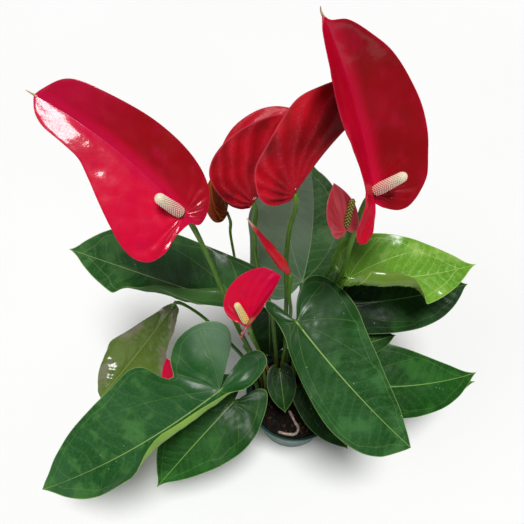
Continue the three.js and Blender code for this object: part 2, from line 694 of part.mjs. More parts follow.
// The stalk ends under the spathe and the spadix starts on it, each a clearance away from it.
function flowerSolids(flower) {
  const form = SPATHE_FORMS[flower.size ?? 'large']
  const spathe = toSolid(bladeGeometry(flower, form, SPATHE_THICKNESS))
  const gap = toSolid(bladeGeometry(flower, form, SPATHE_THICKNESS + 3 * CLEARANCE))
  const { joint } = bladeAxes(flower)
  const line = v3(flower.spadix.end).sub(joint).normalize()
  const rise = joint.clone().sub(v3(flower.stem.via.at(-1))).normalize()
  const heel = line.clone().multiplyScalar(flower.lean ?? 1).add(rise).normalize()
  const neck = joint.clone().addScaledVector(heel, -NECK_LENGTH)
  const top = joint.clone().addScaledVector(heel, -JOINT_GAP)
  const stalk = stemSolid(stemRoute(flower.stem, [neck, top]), ...flower.stem.radius)
  const spadix = spadixSolid(joint.clone().addScaledVector(line, JOINT_GAP), flower.spadix)
  return {
    spathe,
    stalk: largestPiece(stalk.subtract(gap)),
    spadix: largestPiece(spadix.subtract(gap)),
  }
}

// ---------- bud, shoot and roots ----------

// The bud is a spathe still rolled round its spadix, on a stalk of its own.
const BUD = {
  base: [-16, 31, 338], tip: [-53, 50, 397], sag: [3, -2, -3], sides: 8, steps: 7,
  widths: [[0, 3], [0.22, 4.9], [0.5, 4.3], [0.8, 2.1], [1, 0.5]],
  stem: { foot: [-17, 14.5], via: [[-16, 17, 150], [-10, 32, 250], [-13, 32, 290]], radius: [2.2, 1.7] },
}
const SHOOT = { foot: [-30, 22], via: [[-33, 26, 105]], tip: [-56, 38, 188], radius: [2.8, 0.7] }
const STUB = { foot: [-38, 22.5], via: [[-47, 27, 120]], tip: [-61, 31, 166], radius: [2.4, 1.9] }
const BUD_NECK = 4
const SPIKE_STEPS = 4
const ROOT_RADIUS = 1.75
const ROOT_SIDES = 6
const ROOT_STEPS = 20
const ROOT_ROUTE = [
  [-6, -19, 66], [-6, -19, 75], [-5.2, -21.5, 80.4], [0, -33, 81.2], [4.5, -42, 81.2], [1, -48.4, 81.2],
  [-9, -49, 81.2], [-17, -46.8, 80.4], [-19.5, -45, 75], [-19.5, -45, 66],
]

function budSolids() {
  const base = v3(BUD.base)
  const points = []
  const radii = []
  for (let i = 0; i <= BUD.steps; i++) {
    const t = i / BUD.steps
    points.push(base.clone().lerp(v3(BUD.tip), t).addScaledVector(v3(BUD.sag), 4 * t * (1 - t)))
    radii.push(along(BUD.widths, t))
  }
  const start = points[1].clone().sub(base).normalize()
  const end = base.clone().addScaledVector(start, -CLEARANCE)
  const neck = base.clone().addScaledVector(start, -BUD_NECK)
  return {
    bud: toSolid(tube(points, radii, BUD.sides)),
    stalk: stemSolid(stemRoute(BUD.stem, [neck, end]), ...BUD.stem.radius),
  }
}

function spikeSolid(spike) {
  return stemSolid(stemRoute(spike, [v3(spike.tip)], SPIKE_STEPS), ...spike.radius)
}

function rootTube(radius) {
  const route = new THREE.CatmullRomCurve3(ROOT_ROUTE.map(v3), false, 'centripetal')
  const points = route.getSpacedPoints(ROOT_STEPS)
  return toSolid(tube(points, points.map(() => radius), ROOT_SIDES))
}

// ---------- pot and soil ----------

function lathe(profile, sides) {
  const points = profile.map(([r, z]) => new THREE.Vector2(r, z))
  return toSolid(new THREE.LatheGeometry(points, sides).rotateX(Math.PI / 2))
}

function upright(x, y, bottom, top, radius, sides) {
  return toSolid(tube([v3([x, y, bottom]), v3([x, y, top])], [radius, radius], sides))
}

function potSolid() {
  const rimBottom = POT_HEIGHT - RIM_BAND
  const foot = BASE_RADIUS - BASE_ROUND
  const neck = RIM_RADIUS - 2 * RIM_STEP
  const profile = [
    [0, 0], [REST_PAD_RADIUS - 1, 0], [REST_PAD_RADIUS, BASE_RECESS],
    [foot - FOOT_RING_WIDTH, BASE_RECESS], [foot - FOOT_RING_WIDTH + 1, 0], [foot, 0],
    [BASE_RADIUS, BASE_ROUND], [neck, rimBottom], [neck + RIM_STEP, rimBottom + 0.6],
    [RIM_RADIUS, POT_HEIGHT - 1.5], [RIM_RADIUS - 0.6, POT_HEIGHT],
    [RIM_RADIUS - POT_WALL - 0.2, POT_HEIGHT], [INNER_TOP + 2, rimBottom + 1.5],
    [INNER_TOP, rimBottom - 0.4], [INNER_BASE, BASE_RECESS + POT_FLOOR], [0, BASE_RECESS + POT_FLOOR],
  ]
  let pot = lathe(profile, POT_SIDES)
  for (let i = 0; i < DRAIN_HOLES; i++) {
    const angle = (2 * Math.PI * (i + 0.5)) / DRAIN_HOLES
    const [x, y] = [DRAIN_CIRCLE * Math.cos(angle), DRAIN_CIRCLE * Math.sin(angle)]
    pot = pot.subtract(upright(x, y, -1, BASE_RECESS + POT_FLOOR + 1, DRAIN_RADIUS, DRAIN_SIDES))
  }
  return pot
}

// The height of the soil's surface, in low crumbs.
function soilHeight(x, y) {
  return SOIL_TOP + SOIL_RELIEF * Math.sin(0.37 * x + 0.6) * Math.cos(0.43 * y - 0.4)
}

// The soil is bored for each stem's foot and for the root.
function soilSolid(stems) {
  const bottom = BASE_RECESS + POT_FLOOR + CLEARANCE
  const wallSlope = (INNER_TOP - INNER_BASE) / (POT_HEIGHT - RIM_BAND - BASE_RECESS - POT_FLOOR)
  const edge = INNER_BASE + wallSlope * (SOIL_TOP - SOIL_RELIEF - bottom) - 2 * CLEARANCE
  const profile = [[0, bottom], [INNER_BASE - 2 * CLEARANCE, bottom]]
  for (let i = SOIL_RINGS; i >= 0; i--) profile.push([(edge * i) / SOIL_RINGS, SOIL_TOP])
  const points = profile.map(([r, z]) => new THREE.Vector2(r, z))
  const geometry = new THREE.LatheGeometry(points, POT_SIDES).rotateX(Math.PI / 2)
  const place = geometry.attributes.position
  for (let i = 0; i < place.count; i++) {
    if (place.getZ(i) > SOIL_TOP / 2) place.setZ(i, soilHeight(place.getX(i), place.getY(i)))
  }
  let soil = toSolid(geometry)
  for (const { foot, radius } of stems) {
    const bore = upright(...foot, STEM_BOTTOM - CLEARANCE, SOIL_TOP + 4, radius + BORE_GAP, STEM_SIDES)
    soil = soil.subtract(bore)
  }
  return soil.subtract(rootTube(ROOT_RADIUS + CLEARANCE))
}

// ---------- assembly ----------

const plant = new THREE.Group()

function addMesh(name, solid, colour, roughness = 0.5) {
  const material = new THREE.MeshStandardMaterial({ color: COLOURS[colour], roughness, metalness: 0 })
  const mesh = new THREE.Mesh(toGeometry(solid), material)
  mesh.name = name
  plant.add(mesh)
}

const feet = [
  ...LEAVES.map((leaf) => ({ foot: leaf.stem.foot, radius: PETIOLE_RADII[0] })),
  ...[...FLOWERS, BUD].map((flower) => ({ foot: flower.stem.foot, radius: flower.stem.radius[0] })),
  ...[SHOOT, STUB].map((spike) => ({ foot: spike.foot, radius: spike.radius[0] })),
]

addMesh('pot', potSolid(), 'pot', 0.45)
addMesh('soil', soilSolid(feet), 'soil', 0.95)
for (const leaf of LEAVES) {
  addMesh(leaf.name, leafSolid(leaf), leaf.colour, 0.35)
}
for (const flower of FLOWERS) {
  const { spathe, stalk, spadix } = flowerSolids(flower)
  addMesh(`spathe_${flower.name}`, spathe, flower.colour, 0.2)
  addMesh(`stalk_${flower.name}`, stalk, 'stalk', 0.5)
  addMesh(`spadix_${flower.name}`, spadix, flower.spadix.colour, 0.7)
}
const { bud, stalk: budStalk } = budSolids()
addMesh('bud', bud, 'spathe', 0.3)
addMesh('stalk_bud', budStalk, 'stalk', 0.5)
addMesh('new_shoot', spikeSolid(SHOOT), 'shoot', 0.5)
addMesh('petiole_stub', spikeSolid(STUB), 'stalk', 0.5)
addMesh('aerial_root', rootTube(ROOT_RADIUS), 'root', 0.7)

export default plant
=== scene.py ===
# A potted anthurium: glossy heart-shaped leaves, red spathes with cream spadices, pot and soil.
# Shapes are written in millimetres and turned into metres where each mesh is made.

import math
import random

import bmesh
import bpy
import numpy as np
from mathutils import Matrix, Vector, noise


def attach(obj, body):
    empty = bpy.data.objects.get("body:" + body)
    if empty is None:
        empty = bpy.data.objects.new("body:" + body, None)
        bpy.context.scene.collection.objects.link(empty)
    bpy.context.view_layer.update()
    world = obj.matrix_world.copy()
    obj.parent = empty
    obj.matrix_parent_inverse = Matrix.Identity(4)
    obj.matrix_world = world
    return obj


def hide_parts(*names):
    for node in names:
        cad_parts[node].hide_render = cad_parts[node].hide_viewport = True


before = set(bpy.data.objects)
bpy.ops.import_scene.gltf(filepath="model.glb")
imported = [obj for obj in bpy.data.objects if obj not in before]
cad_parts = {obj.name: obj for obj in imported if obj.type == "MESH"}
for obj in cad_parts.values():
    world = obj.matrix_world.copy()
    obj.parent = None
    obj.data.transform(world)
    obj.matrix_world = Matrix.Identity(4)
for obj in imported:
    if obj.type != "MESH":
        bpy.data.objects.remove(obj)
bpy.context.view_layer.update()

MM = 0.001
TURN = 2 * math.pi
BODY = "root"
SEED = 7

# ---------- driving dimensions, in millimetres and degrees ----------

POT_HEIGHT = 90
RIM_RADIUS = 60
RIM_BAND = 11
RIM_STEP = 2.2
LIP_RADIUS = 0.75
BASE_RADIUS = 44.5
BASE_ROUND = 1.2
POT_WALL = 1.6
POT_FLOOR = 2.4
POT_SIDES = 128
INNER_TOP = RIM_RADIUS - 2 * RIM_STEP - POT_WALL
INNER_BASE = BASE_RADIUS - POT_WALL
BASE_RECESS = 2
REST_PAD_RADIUS = 15
FOOT_RING_WIDTH = 5
DRAIN_HOLES = 6
DRAIN_RADIUS = 4
DRAIN_CIRCLE = 27
CREASE_ANGLE = 35

SOIL_TOP = 78
SOIL_GAP = 0.7
SOIL_RINGS, SOIL_SIDES = 60, 160
BARK_CRUMBS, BARK_SIZES = 170, (1.6, 4.6)
PEAT_CRUMBS, PEAT_SIZES = 420, (0.8, 2.4)

# Stems start a little below the soil's top. A petiole enters its blade from below, a part of the
# blade's length past the joint. A stalk stops short of the joint by a small gap.
STEM_BOTTOM = 70
STEM_SIDES = 16
PETIOLE_STEPS, STALK_STEPS, SPIKE_STEPS, ROOT_STEPS = 40, 60, 30, 70
CURVE_STEPS = 24

LEAF_THICKNESS = 0.8
SPATHE_THICKNESS = 1.0
PETIOLE_RADII = (2.5, 1.6)
PETIOLE_REACH = 0.05
PETIOLE_DEPTH = 0.9
NECK_BACK = 3
NECK_DROP = 4
NECK_LENGTH = 12
STALK_GAP = 0.8
BUD_NECK = 4
ROOT_RADIUS = 1.75

TIP_STEPS, TIP_SIDES = 8, 8
TIP_RADII = (1.1, 0.25)
BUD_STEPS, BUD_SIDES = 48, 48
BUD_LIP, BUD_TURNS = 0.13, 0.35
ROOT_SIDES = 14
SHEATH_STEPS, SHEATH_SIDES = 14, 16
SHEATH_RADIUS, SHEATH_TIP = 3.4, 0.25

# A spadix starts a little above its joint, thinner at the foot and tapering. Its florets are steps
# of a part of its radius between the hollows and the tops.
SPADIX_SIDES = 96
SPADIX_FOOT = 0.85
SPADIX_TAPER = 0.25
SPADIX_RISE = 1.1
FLORET_RINGS = 7
FLORET_HOLLOW, FLORET_RELIEF = 0.86, 0.24

# How finely a blade is divided: columns along each half and rows from its midrib to its margin, the
# first of them some millimetres from the midrib and the last at parts of the half's width.
LEAF_GRID = {"large": (72, 22), "small": (40, 12)}
SPATHE_GRID = {"large": (80, 26), "small": (48, 14)}
RIB_ROWS = [0, 1.1, 2.3, 4]
MARGIN_ROWS = [0.96, 0.985, 1]
ARC_STEPS = 12
VEIN_SLANT = 0.12
WAVE_SHIFT = 1.9

# The widths of a blade's relief: the ridge above its midrib, the rib below, its main side veins, a
# groove as a part of the space between side veins, its swells and its crinkles.
RIDGE_WIDTH, RIB_WIDTH, ARC_WIDTH = 1.3, 1.7, 2.2
GROOVE_WIDTH = 0.16
SWELL_SIZE, CRINKLE_SIZE = 26, 8.5

LEAF_VEIN_WIDTH, SPATHE_VEIN_WIDTH = 0.6, 1.0
FLECK = "#dfe8d8"

# How a skin's unevenness is stretched: round, in upright streaks of three kinds and in level layers.
ROUND, STREAKED, FIBROUS, GRAINED, LAYERED = (1, 1, 1), (1, 1, 0.4), (1, 1, 0.08), (1, 1, 0.06), (1, 1, 3)

# The camera's lens, its place in millimetres and its tilt, the floor and the light.
LENS = 41.22
SENSOR_WIDTH = 36
EYE = (-40, -246, 817)
EYE_TILT = 31
FLOOR_REACH = 4000
SKY_STRENGTH = 0.14
KEY_LIGHT = {"direction": (0.05, -0.14, 0.98), "strength": 2.7, "spread": 18}
FILL_LIGHT = {"direction": (-0.6, -0.3, 0.7), "strength": 0.3, "spread": 50}

# A half blade's margin from the tip to the joint, as [part of the length, part of the half width].
LEAF_OUTLINE = [
    [1, 0], [0.972, 0.03], [0.935, 0.1], [0.86, 0.3], [0.72, 0.6], [0.54, 0.86], [0.33, 1], [0.12, 0.97],
    [-0.05, 0.86], [-0.19, 0.64], [-0.26, 0.4], [-0.22, 0.21], [-0.12, 0.09], [0, 0],
]

SPATHE_OUTLINE = [
    [1, 0], [0.985, 0.03], [0.95, 0.15], [0.86, 0.43], [0.7, 0.76], [0.5, 0.96], [0.3, 1], [0.1, 0.92],
    [-0.07, 0.75], [-0.18, 0.52], [-0.2, 0.3], [-0.16, 0.12], [-0.08, 0],
]

# Each blade: its joint with the stem and its tip, where its upper face looks, how far its midrib bows
# out of and sweeps across the blade as parts of its length, and the height of its wave. Its left and
# right half, seen from above with the tip ahead: the half width, the degrees that it folds up at the
# midrib and that it curls further by its margin, at places along the length where they vary, and its
# own outline, or the fullness and lobe that reshape the family's. Its stem: a foot on the soil and the
# points that it passes.
LEAVES = [
    dict(
        name="leaf_front_right", look="leaf_sheen", joint=[-5, 13, 268], tip=[113, -92, 190],
        face=[0.1, -0.35, 1], bow=0.04, sweep=-0.03, wave=2,
        left=dict(half=60, fold=4, curl=-10, outline=[
            [1, 0], [0.97, 0.06], [0.9, 0.18], [0.745, 0.41], [0.52, 0.64], [0.36, 0.8], [0.25, 0.91],
            [0.16, 0.98], [0.04, 1], [-0.067, 0.94], [-0.13, 0.84], [-0.165, 0.66], [-0.15, 0.44],
            [-0.09, 0.2], [0, 0],
        ]),
        right=dict(half=44, fold=[[-0.2, -12], [0.1, -12], [0.5, -4], [1, 0]], curl=-10, outline=[
            [1, 0], [0.985, 0.1], [0.95, 0.3], [0.876, 0.66], [0.78, 0.88], [0.68, 0.98], [0.58, 1],
            [0.46, 0.95], [0.34, 0.84], [0.22, 0.7], [0.11, 0.56], [0.02, 0.42], [-0.08, 0.36],
            [-0.16, 0.38], [-0.2, 0.22], [-0.12, 0.09], [0, 0],
        ]),
        stem=dict(foot=[-8, 8], via=[[-4, 9, 150], [-7, 12, 235]]),
    ),
    dict(
        name="leaf_upper_left", look="leaf_grey", joint=[-59, 32, 262], tip=[-251, 104, 262],
        face=[0, -0.5, 1], bow=0.03, wave=2, uneven=2,
        left=dict(
            half=40, full=0.85, lobe=0.3, fold=[[0, 40], [0.25, 10], [1, 5]],
            curl=[[-0.05, 110], [0.12, 200], [0.35, 150], [0.55, 110], [0.68, 30], [1, 10]],
        ),
        right=dict(half=51, full=0.6, lobe=0.25, fold=12, curl=-14),
        stem=dict(foot=[-37, 15], via=[[-40, 18, 150], [-54, 28, 235]]),
    ),
    dict(
        name="leaf_front_left", look="leaf_rolled", joint=[-84, -40, 215], tip=[-279, -122, 130],
        face=[-0.1, -0.2, 1], bow=0.05, sweep=0.05, uneven=2,
        left=dict(
            half=40, wraps=True, fold=[[-0.2, 0], [0, 5], [0.5, 5], [0.7, 20], [1, 15]],
            curl=[[-0.14, 0], [-0.02, 190], [0.27, 190], [0.5, 62], [0.7, 10], [1, 0]],
            outline=[
                [1, 0], [0.972, 0.06], [0.92, 0.2], [0.84, 0.45], [0.7, 0.75], [0.52, 0.9], [0.32, 0.74],
                [0.12, 0.68], [-0.01, 0.56], [-0.09, 0.42], [-0.17, 0.36], [-0.235, 0.24], [-0.262, 0],
                [-0.245, -0.24], [-0.19, -0.36], [-0.12, -0.28], [0, 0],
            ],
        ),
        right=dict(half=75, fold=[[-0.2, 28], [0.1, 22], [0.3, 8], [1, 5]], curl=-12, outline=[
            [1, 0], [0.975, 0.08], [0.89, 0.36], [0.8, 0.55], [0.68, 0.72], [0.55, 0.84], [0.45, 0.92],
            [0.32, 1], [0.24, 0.9], [0.18, 0.62], [0.14, 0.52], [0.09, 0.78], [0.01, 0.93],
            [-0.07, 0.94], [-0.15, 0.86], [-0.2, 0.68], [-0.18, 0.46], [-0.1, 0.24], [0, 0],
        ]),
        stem=dict(foot=[-44, -3], via=[[-46, -6, 130], [-50, -16, 172], [-66, -31, 200]]),
    ),
    dict(
        name="leaf_front", joint=[-73, -32, 150], tip=[-158, -116, 110], face=[0, -0.2, 1], bow=0.05,
        wave=2, left=dict(half=45, full=1.35, lobe=1.1, fold=-4, curl=-8),
        right=dict(half=42, full=0.8, lobe=0.8, fold=8),
        stem=dict(foot=[-35, -13], via=[[-39, -16, 105], [-58, -25, 134]]),
    ),
    dict(
        name="leaf_center", look="leaf_painted_shade", size="small", joint=[-19, 4, 150], tip=[-13, -37, 128],
        face=[0, -0.6, 1], bow=0.04, left=dict(half=17, lobe=0.8, fold=8),
        right=dict(half=17, lobe=0.8, fold=8), stem=dict(foot=[-24, 4], via=[[-24, 6, 120]]),
    ),
    dict(
        name="leaf_front_small", look="leaf_painted_shade", size="small", joint=[15, -7, 135], tip=[61, -71, 97],
        face=[0, -0.3, 1], bow=0.05, left=dict(half=30, full=0.9, lobe=0.2, fold=5),
        right=dict(half=27, full=0.9, lobe=0.3, fold=5), stem=dict(foot=[1, -13], via=[[2, -13, 105]]),
    ),
    dict(
        name="leaf_right", joint=[50, -20, 175], tip=[203, -3, 170], face=[0, -0.3, 1], bow=0.05,
        sweep=-0.05, wave=2, left=dict(half=52, full=1.5, lobe=0.4, fold=10),
        right=dict(half=36, full=0.65, lobe=0.5, fold=-6, curl=-20),
        stem=dict(foot=[7, 5], via=[[12, 6, 120], [27, 2, 150], [38, -10, 166]]),
    ),
    dict(
        name="leaf_right_shaded", look="leaf_painted_shade", joint=[45, 57, 220], tip=[190, 78, 230],
        face=[0, -0.4, 1], bow=0.03, sweep=-0.03, left=dict(half=40, full=0.7, lobe=0.4, fold=6),
        right=dict(half=38, full=0.65, lobe=0.4, fold=6, curl=[[0, 0], [0.2, 20]]),
        stem=dict(foot=[0, 29], via=[[4, 31, 130], [30, 47, 200]]),
    ),
    dict(
        name="leaf_right_young", slot="leaf_young", look="leaf_young", joint=[47, 51, 290],
        tip=[181, 71, 285], face=[0, -0.5, 1], bow=0.03, sweep=-0.04, wave=2, uneven=2, crinkle=0.5,
        left=dict(half=46, full=1.2, lobe=0.5, fold=8, curl=-6),
        right=dict(
            half=34, full=0.9, lobe=0.15, fold=[[0, 30], [0.35, 15], [0.5, 8], [1, 5]],
            curl=[[-0.03, 110], [0.14, 190], [0.3, 175], [0.42, 150], [0.56, 10], [1, 0]],
        ),
        stem=dict(foot=[8, 14], via=[[12, 17, 140], [31, 32, 212], [42, 48, 258]]),
    ),
    dict(
        name="leaf_back", slot="leaf_back", look="leaf_back", joint=[4, 73, 245], tip=[5, 134, 377],
        face=[0.1, -1, 0.45], bow=-0.04, sweep=-0.06, wave=2, uneven=2.5,
        left=dict(half=67, full=0.5, lobe=0.7, fold=2),
        right=dict(half=44, full=0.95, lobe=0.5, fold=34, curl=-20),
        stem=dict(foot=[-9, 30], via=[[-7, 34, 130], [3, 60, 205]]),
    ),
    dict(
        name="leaf_hanging", slot="leaf_hanging", look="leaf_hanging", joint=[-137, 61, 215],
        tip=[-227, -23, 140], face=[0.2, 0.55, -0.6], bow=0.08, wave=3, waves=2, uneven=5, crinkle=1.6,
        left=dict(half=37, fold=12, outline=[
            [1, 0], [0.97, 0.24], [0.86, 0.6], [0.74, 0.84], [0.65, 1], [0.56, 0.87], [0.38, 0.62],
            [0.13, 0.3], [0.02, 0.1], [0, 0],
        ]),
        right=dict(half=46, fold=[[0, -20], [1, 10]], outline=[
            [1, 0], [0.96, 0.3], [0.8, 0.72], [0.66, 0.92], [0.58, 0.98], [0.5, 0.78], [0.35, 0.55],
            [0.17, 0.42], [0.02, 0.2], [0, 0],
        ]),
        stem=dict(foot=[-43.5, 11], via=[[-50, 14, 130], [-85, 34, 190], [-113, 49, 219]]),
    ),
    dict(
        name="leaf_right_inner", look="leaf_painted_shade", size="small", joint=[58, 12, 204], tip=[110, 30, 199],
        face=[0, -0.3, 1], bow=0.05, left=dict(half=14, lobe=0.4, fold=8),
        right=dict(half=14, lobe=0.4, fold=8),
        stem=dict(foot=[14, -1], via=[[22, 4, 110], [29, 13, 172], [44, 14, 196]]),
    ),
    dict(
        name="leaf_right_low", size="small", joint=[78, -30, 145], tip=[211, -3, 140], face=[0, -0.3, 1],
        bow=0.05, left=dict(half=26, lobe=0.5, fold=8), right=dict(half=24, lobe=0.5, fold=8),
        stem=dict(foot=[11, -10], via=[[17, -11, 96], [56, -20, 108]]),
    ),
    dict(
        name="leaf_inner", look="leaf_painted_shade", size="small", joint=[-32, 50, 212], tip=[-30, 43, 104],
        face=[0, -1, 0.1], bow=0.04, left=dict(half=22, full=0.9, lobe=0.5, fold=8),
        right=dict(half=22, full=0.9, lobe=0.5, fold=8),
        stem=dict(foot=[-24, 34], via=[[-24, 45, 97], [-27, 57, 130], [-31, 59, 185]]),
    ),
]

FLOWERS = [
    dict(
        name="left", joint=[-103, 31, 430], tip=[-209, 89, 500], face=[0, -0.5, 1], bow=0.03,
        sweep=-0.045,
        left=dict(half=53, fold=10, curl=-8, outline=[
            [1, 0], [0.985, 0.08], [0.943, 0.23], [0.874, 0.33], [0.739, 0.385], [0.628, 0.43],
            [0.524, 0.56], [0.386, 0.74], [0.228, 0.9], [0.086, 0.99], [0, 0.98], [-0.07, 0.87],
            [-0.1, 0.6], [-0.07, 0.3], [-0.07, 0],
        ]),
        right=dict(half=38, fold=[[0, 8], [1, 28]], curl=-8, outline=[
            [1, 0], [0.97, 0.2], [0.883, 0.62], [0.818, 0.73], [0.67, 0.83], [0.44, 0.96], [0.26, 0.98],
            [0.123, 0.92], [0.022, 0.78], [-0.05, 0.58], [-0.1, 0.33], [-0.11, 0.1], [-0.07, 0],
        ]),
        stem=dict(foot=[-38, 7], via=[[-44, 9, 150], [-66, 14, 262], [-88, 30, 370]], radius=[2.8, 2]),
        spadix=dict(end=[-119, 27, 458], radius=5.2),
    ),
    dict(
        name="right", look="spathe_lobed", joint=[48, 45, 440], tip=[0, 101, 560],
        face=[0.49, -0.66, 0.57], bow=-0.03, sweep=-0.06,
        left=dict(half=44, fold=[[-0.2, 10], [0, 32], [1, 36]], outline=[
            [1, 0], [0.96, 0.2], [0.85, 0.46], [0.74, 0.62], [0.62, 0.7], [0.49, 0.68], [0.34, 0.58],
            [0.18, 0.44], [0.05, 0.4], [-0.06, 0.48], [-0.15, 0.62], [-0.22, 0.62], [-0.26, 0.46],
            [-0.23, 0.2], [-0.12, 0.05], [-0.07, 0],
        ]),
        right=dict(half=47, fold=35, outline=[
            [1, 0], [0.96, 0.06], [0.92, 0.3], [0.81, 0.55], [0.686, 0.76], [0.52, 0.91], [0.38, 0.99],
            [0.245, 1], [0.148, 0.96], [0.04, 0.9], [-0.054, 0.73], [-0.12, 0.52], [-0.13, 0.34],
            [-0.1, 0.12], [-0.07, 0],
        ]),
        stem=dict(
            foot=[-3, 13], radius=[2.8, 2],
            via=[[2, 17, 150], [30, 52, 245], [36, 56, 272], [38, 47, 305], [36, 31, 390]],
        ),
        spadix=dict(end=[66, 36, 472], radius=4.8),
    ),
    dict(
        name="back_left", look="spathe_back", lean=0.35, joint=[-47, 72, 391], tip=[22, 133, 428],
        face=[-0.694, 0.48, 0.53], bow=0.04, relief=3,
        left=dict(half=62, fold=36, curl=56, outline=[
            [1, 0], [0.97, 0.16], [0.87, 0.5], [0.76, 0.76], [0.64, 0.9], [0.49, 0.98], [0.36, 1],
            [0.2, 0.94], [0.05, 0.8], [-0.08, 0.6], [-0.15, 0.35], [-0.12, 0.12], [-0.07, 0],
        ]),
        right=dict(half=61, fold=36, curl=56, outline=[
            [1, 0], [0.95, 0.14], [0.84, 0.38], [0.73, 0.56], [0.615, 0.74], [0.48, 0.86], [0.32, 0.96],
            [0.19, 1], [0.06, 0.99], [-0.05, 0.9], [-0.12, 0.7], [-0.145, 0.46], [-0.11, 0.22],
            [-0.06, 0.07], [-0.07, 0],
        ]),
        stem=dict(
            foot=[-22, 22], radius=[2.6, 2],
            via=[[-23, 24, 150], [-34, 43, 268], [-46, 58, 315], [-47, 70, 355]],
        ),
        spadix=dict(end=[-58, 90, 410], radius=4.2),
    ),
    dict(
        name="back_right", look="spathe_back", lean=0.35, joint=[-14, 44, 440], tip=[60, 113, 482],
        face=[-0.735, 0.521, 0.435], bow=0.05, relief=3,
        left=dict(half=49, fold=36, curl=56, outline=[
            [1, 0], [0.96, 0.2], [0.87, 0.52], [0.745, 0.8], [0.615, 0.93], [0.46, 1], [0.31, 0.97],
            [0.13, 0.9], [-0.01, 0.8], [-0.1, 0.6], [-0.14, 0.3], [-0.1, 0.1], [-0.07, 0],
        ]),
        right=dict(half=49, fold=36, curl=56, outline=[
            [1, 0], [0.97, 0.12], [0.87, 0.45], [0.745, 0.72], [0.615, 0.87], [0.46, 1], [0.31, 0.98],
            [0.13, 0.93], [-0.01, 0.9], [-0.11, 0.77], [-0.18, 0.57], [-0.17, 0.3], [-0.1, 0.1],
            [-0.07, 0],
        ]),
        stem=dict(
            foot=[-14, 23], radius=[2.6, 2],
            via=[[-13, 26, 150], [-15, 40, 270], [-17, 49, 330], [-16, 46, 390]],
        ),
        spadix=dict(end=[-29, 62, 455], radius=4.2),
    ),
    dict(
        name="front", size="small", joint=[-53, -22, 340], tip=[-24, 3, 380], face=[-0.7, -0.3, 0.6],
        bow=0.02, relief=2.5,
        left=dict(half=30, fold=42, outline=[
            [1, 0], [0.99, 0.28], [0.93, 0.56], [0.77, 0.8], [0.545, 0.97], [0.32, 1], [0.11, 0.9],
            [-0.03, 0.7], [-0.08, 0.45], [-0.07, 0.2], [-0.07, 0],
        ]),
        right=dict(half=30, full=0.8, lobe=0.6, fold=46),
        stem=dict(foot=[-36, -1], via=[[-36, 1, 130], [-43, 7, 205], [-50, -8, 280]], radius=[2.2, 1.6]),
        spadix=dict(end=[-62, -14, 363], radius=3.6, look="spadix_yellow"),
    ),
    dict(
        name="aged", slot="spathe_aged", look="spathe_aged", size="small", joint=[30, 36, 403],
        tip=[18, 58, 435], face=[0.1, -0.5, 0.8], bow=0.02, relief=3,
        left=dict(half=21, lobe=0.5, fold=38), right=dict(half=14, lobe=0.5, fold=46),
        stem=dict(
            foot=[1, 20], radius=[2, 1.4],
            via=[[4, 24, 150], [20, 54, 240], [26, 62, 272], [29, 56, 302], [29, 42, 370]],
        ),
        spadix=dict(end=[33, 45, 431], radius=3.2, slot="spadix_ripe", look="spadix_ripe", florets=3.25),
    ),
    dict(
        name="old", slot="spathe_old", look="spathe_old", size="small", joint=[-73, 84, 360],
        tip=[-71, 134, 375], face=[-0.84, 0.35, 0.41], bow=0, relief=5,
        left=dict(half=24, fold=42, curl=16), right=dict(half=28, fold=42, curl=16),
        stem=dict(
            foot=[-32, 29], radius=[1.8, 1.3],
            via=[[-38, 50, 118], [-52, 64, 165], [-64, 70, 230], [-69, 82, 284], [-71, 81, 330]],
        ),
        spadix=dict(end=[-82, 95, 376], radius=2.6, slot="spadix_ripe", look="spadix_ripe", florets=3.25),
    ),
    dict(
        name="low", size="small", joint=[-128, -30, 130], tip=[-149, 12, 176], face=[0, -0.6, 1],
        bow=0.02, left=dict(half=17, fold=20), right=dict(half=17, fold=20),
        stem=dict(foot=[-42, -10], via=[[-60, -14, 103], [-106, -29, 112]], radius=[1.8, 1.3]),
        spadix=dict(end=[-133, -30, 149], radius=2.4),
    ),
]

ROOT_ROUTE = [
    [-6, -19, 66], [-6, -19, 75], [-5.2, -21.5, 80.4], [0, -33, 81.2], [4.5, -42, 81.2],
    [1, -48.4, 81.2], [-9, -49, 81.2], [-17, -46.8, 80.4], [-19.5, -45, 75], [-19.5, -45, 66],
]

BUD = dict(
    base=[-16, 31, 338], tip=[-53, 50, 397], sag=[3, -2, -3],
    widths=[[0, 3], [0.22, 4.9], [0.5, 4.3], [0.8, 2.1], [1, 0.5]],
    stem=dict(foot=[-17, 14.5], via=[[-16, 17, 150], [-10, 32, 250], [-13, 32, 290]], radius=[2.2, 1.7]),
)
SHOOT = dict(foot=[-30, 22], via=[[-33, 26, 105]], tip=[-56, 38, 188], radius=[2.8, 0.7])
STUB = dict(foot=[-38, 22.5], via=[[-47, 27, 120]], tip=[-61, 31, 166], radius=[2.4, 1.9])

# The dry sheaths' feet on the soil, their heights and how far they lean.
SHEATHS = [(-14, 12, 42, 8), (3, 12, 34, -7), (-6, 27, 46, 5), (-28, 12, 38, 9), (10, 4, 28, -8)]

# Side veins, from the joint. A leaf's are feathered: their spacing as a part of its length, how far
# they slant and bend forward, and the degrees between those that fan out behind the joint. A
# spathe's leave the joint like rays some degrees apart, and bow towards the tip.
LEAF_VEINS = dict(spacing=0.075, slant=0.6, bend=0.45, fan=24, groove=0.1, swell=0.26)
SPATHE_VEINS = dict(rays=21, bow=0.62, groove=0.1, swell=0.12)

# How far side veins stray, as a part of the space between them, and the lengths of their waves.
VEIN_STRAY, STRAY_WAVES = 0.22, (13, 8, 31)

# The three main side veins of each half: the angle at which each leaves the joint, and how far it
# bows forward along the blade.
ARCS = [(34, 0.75), (66, 0.6), (118, 0.3)]

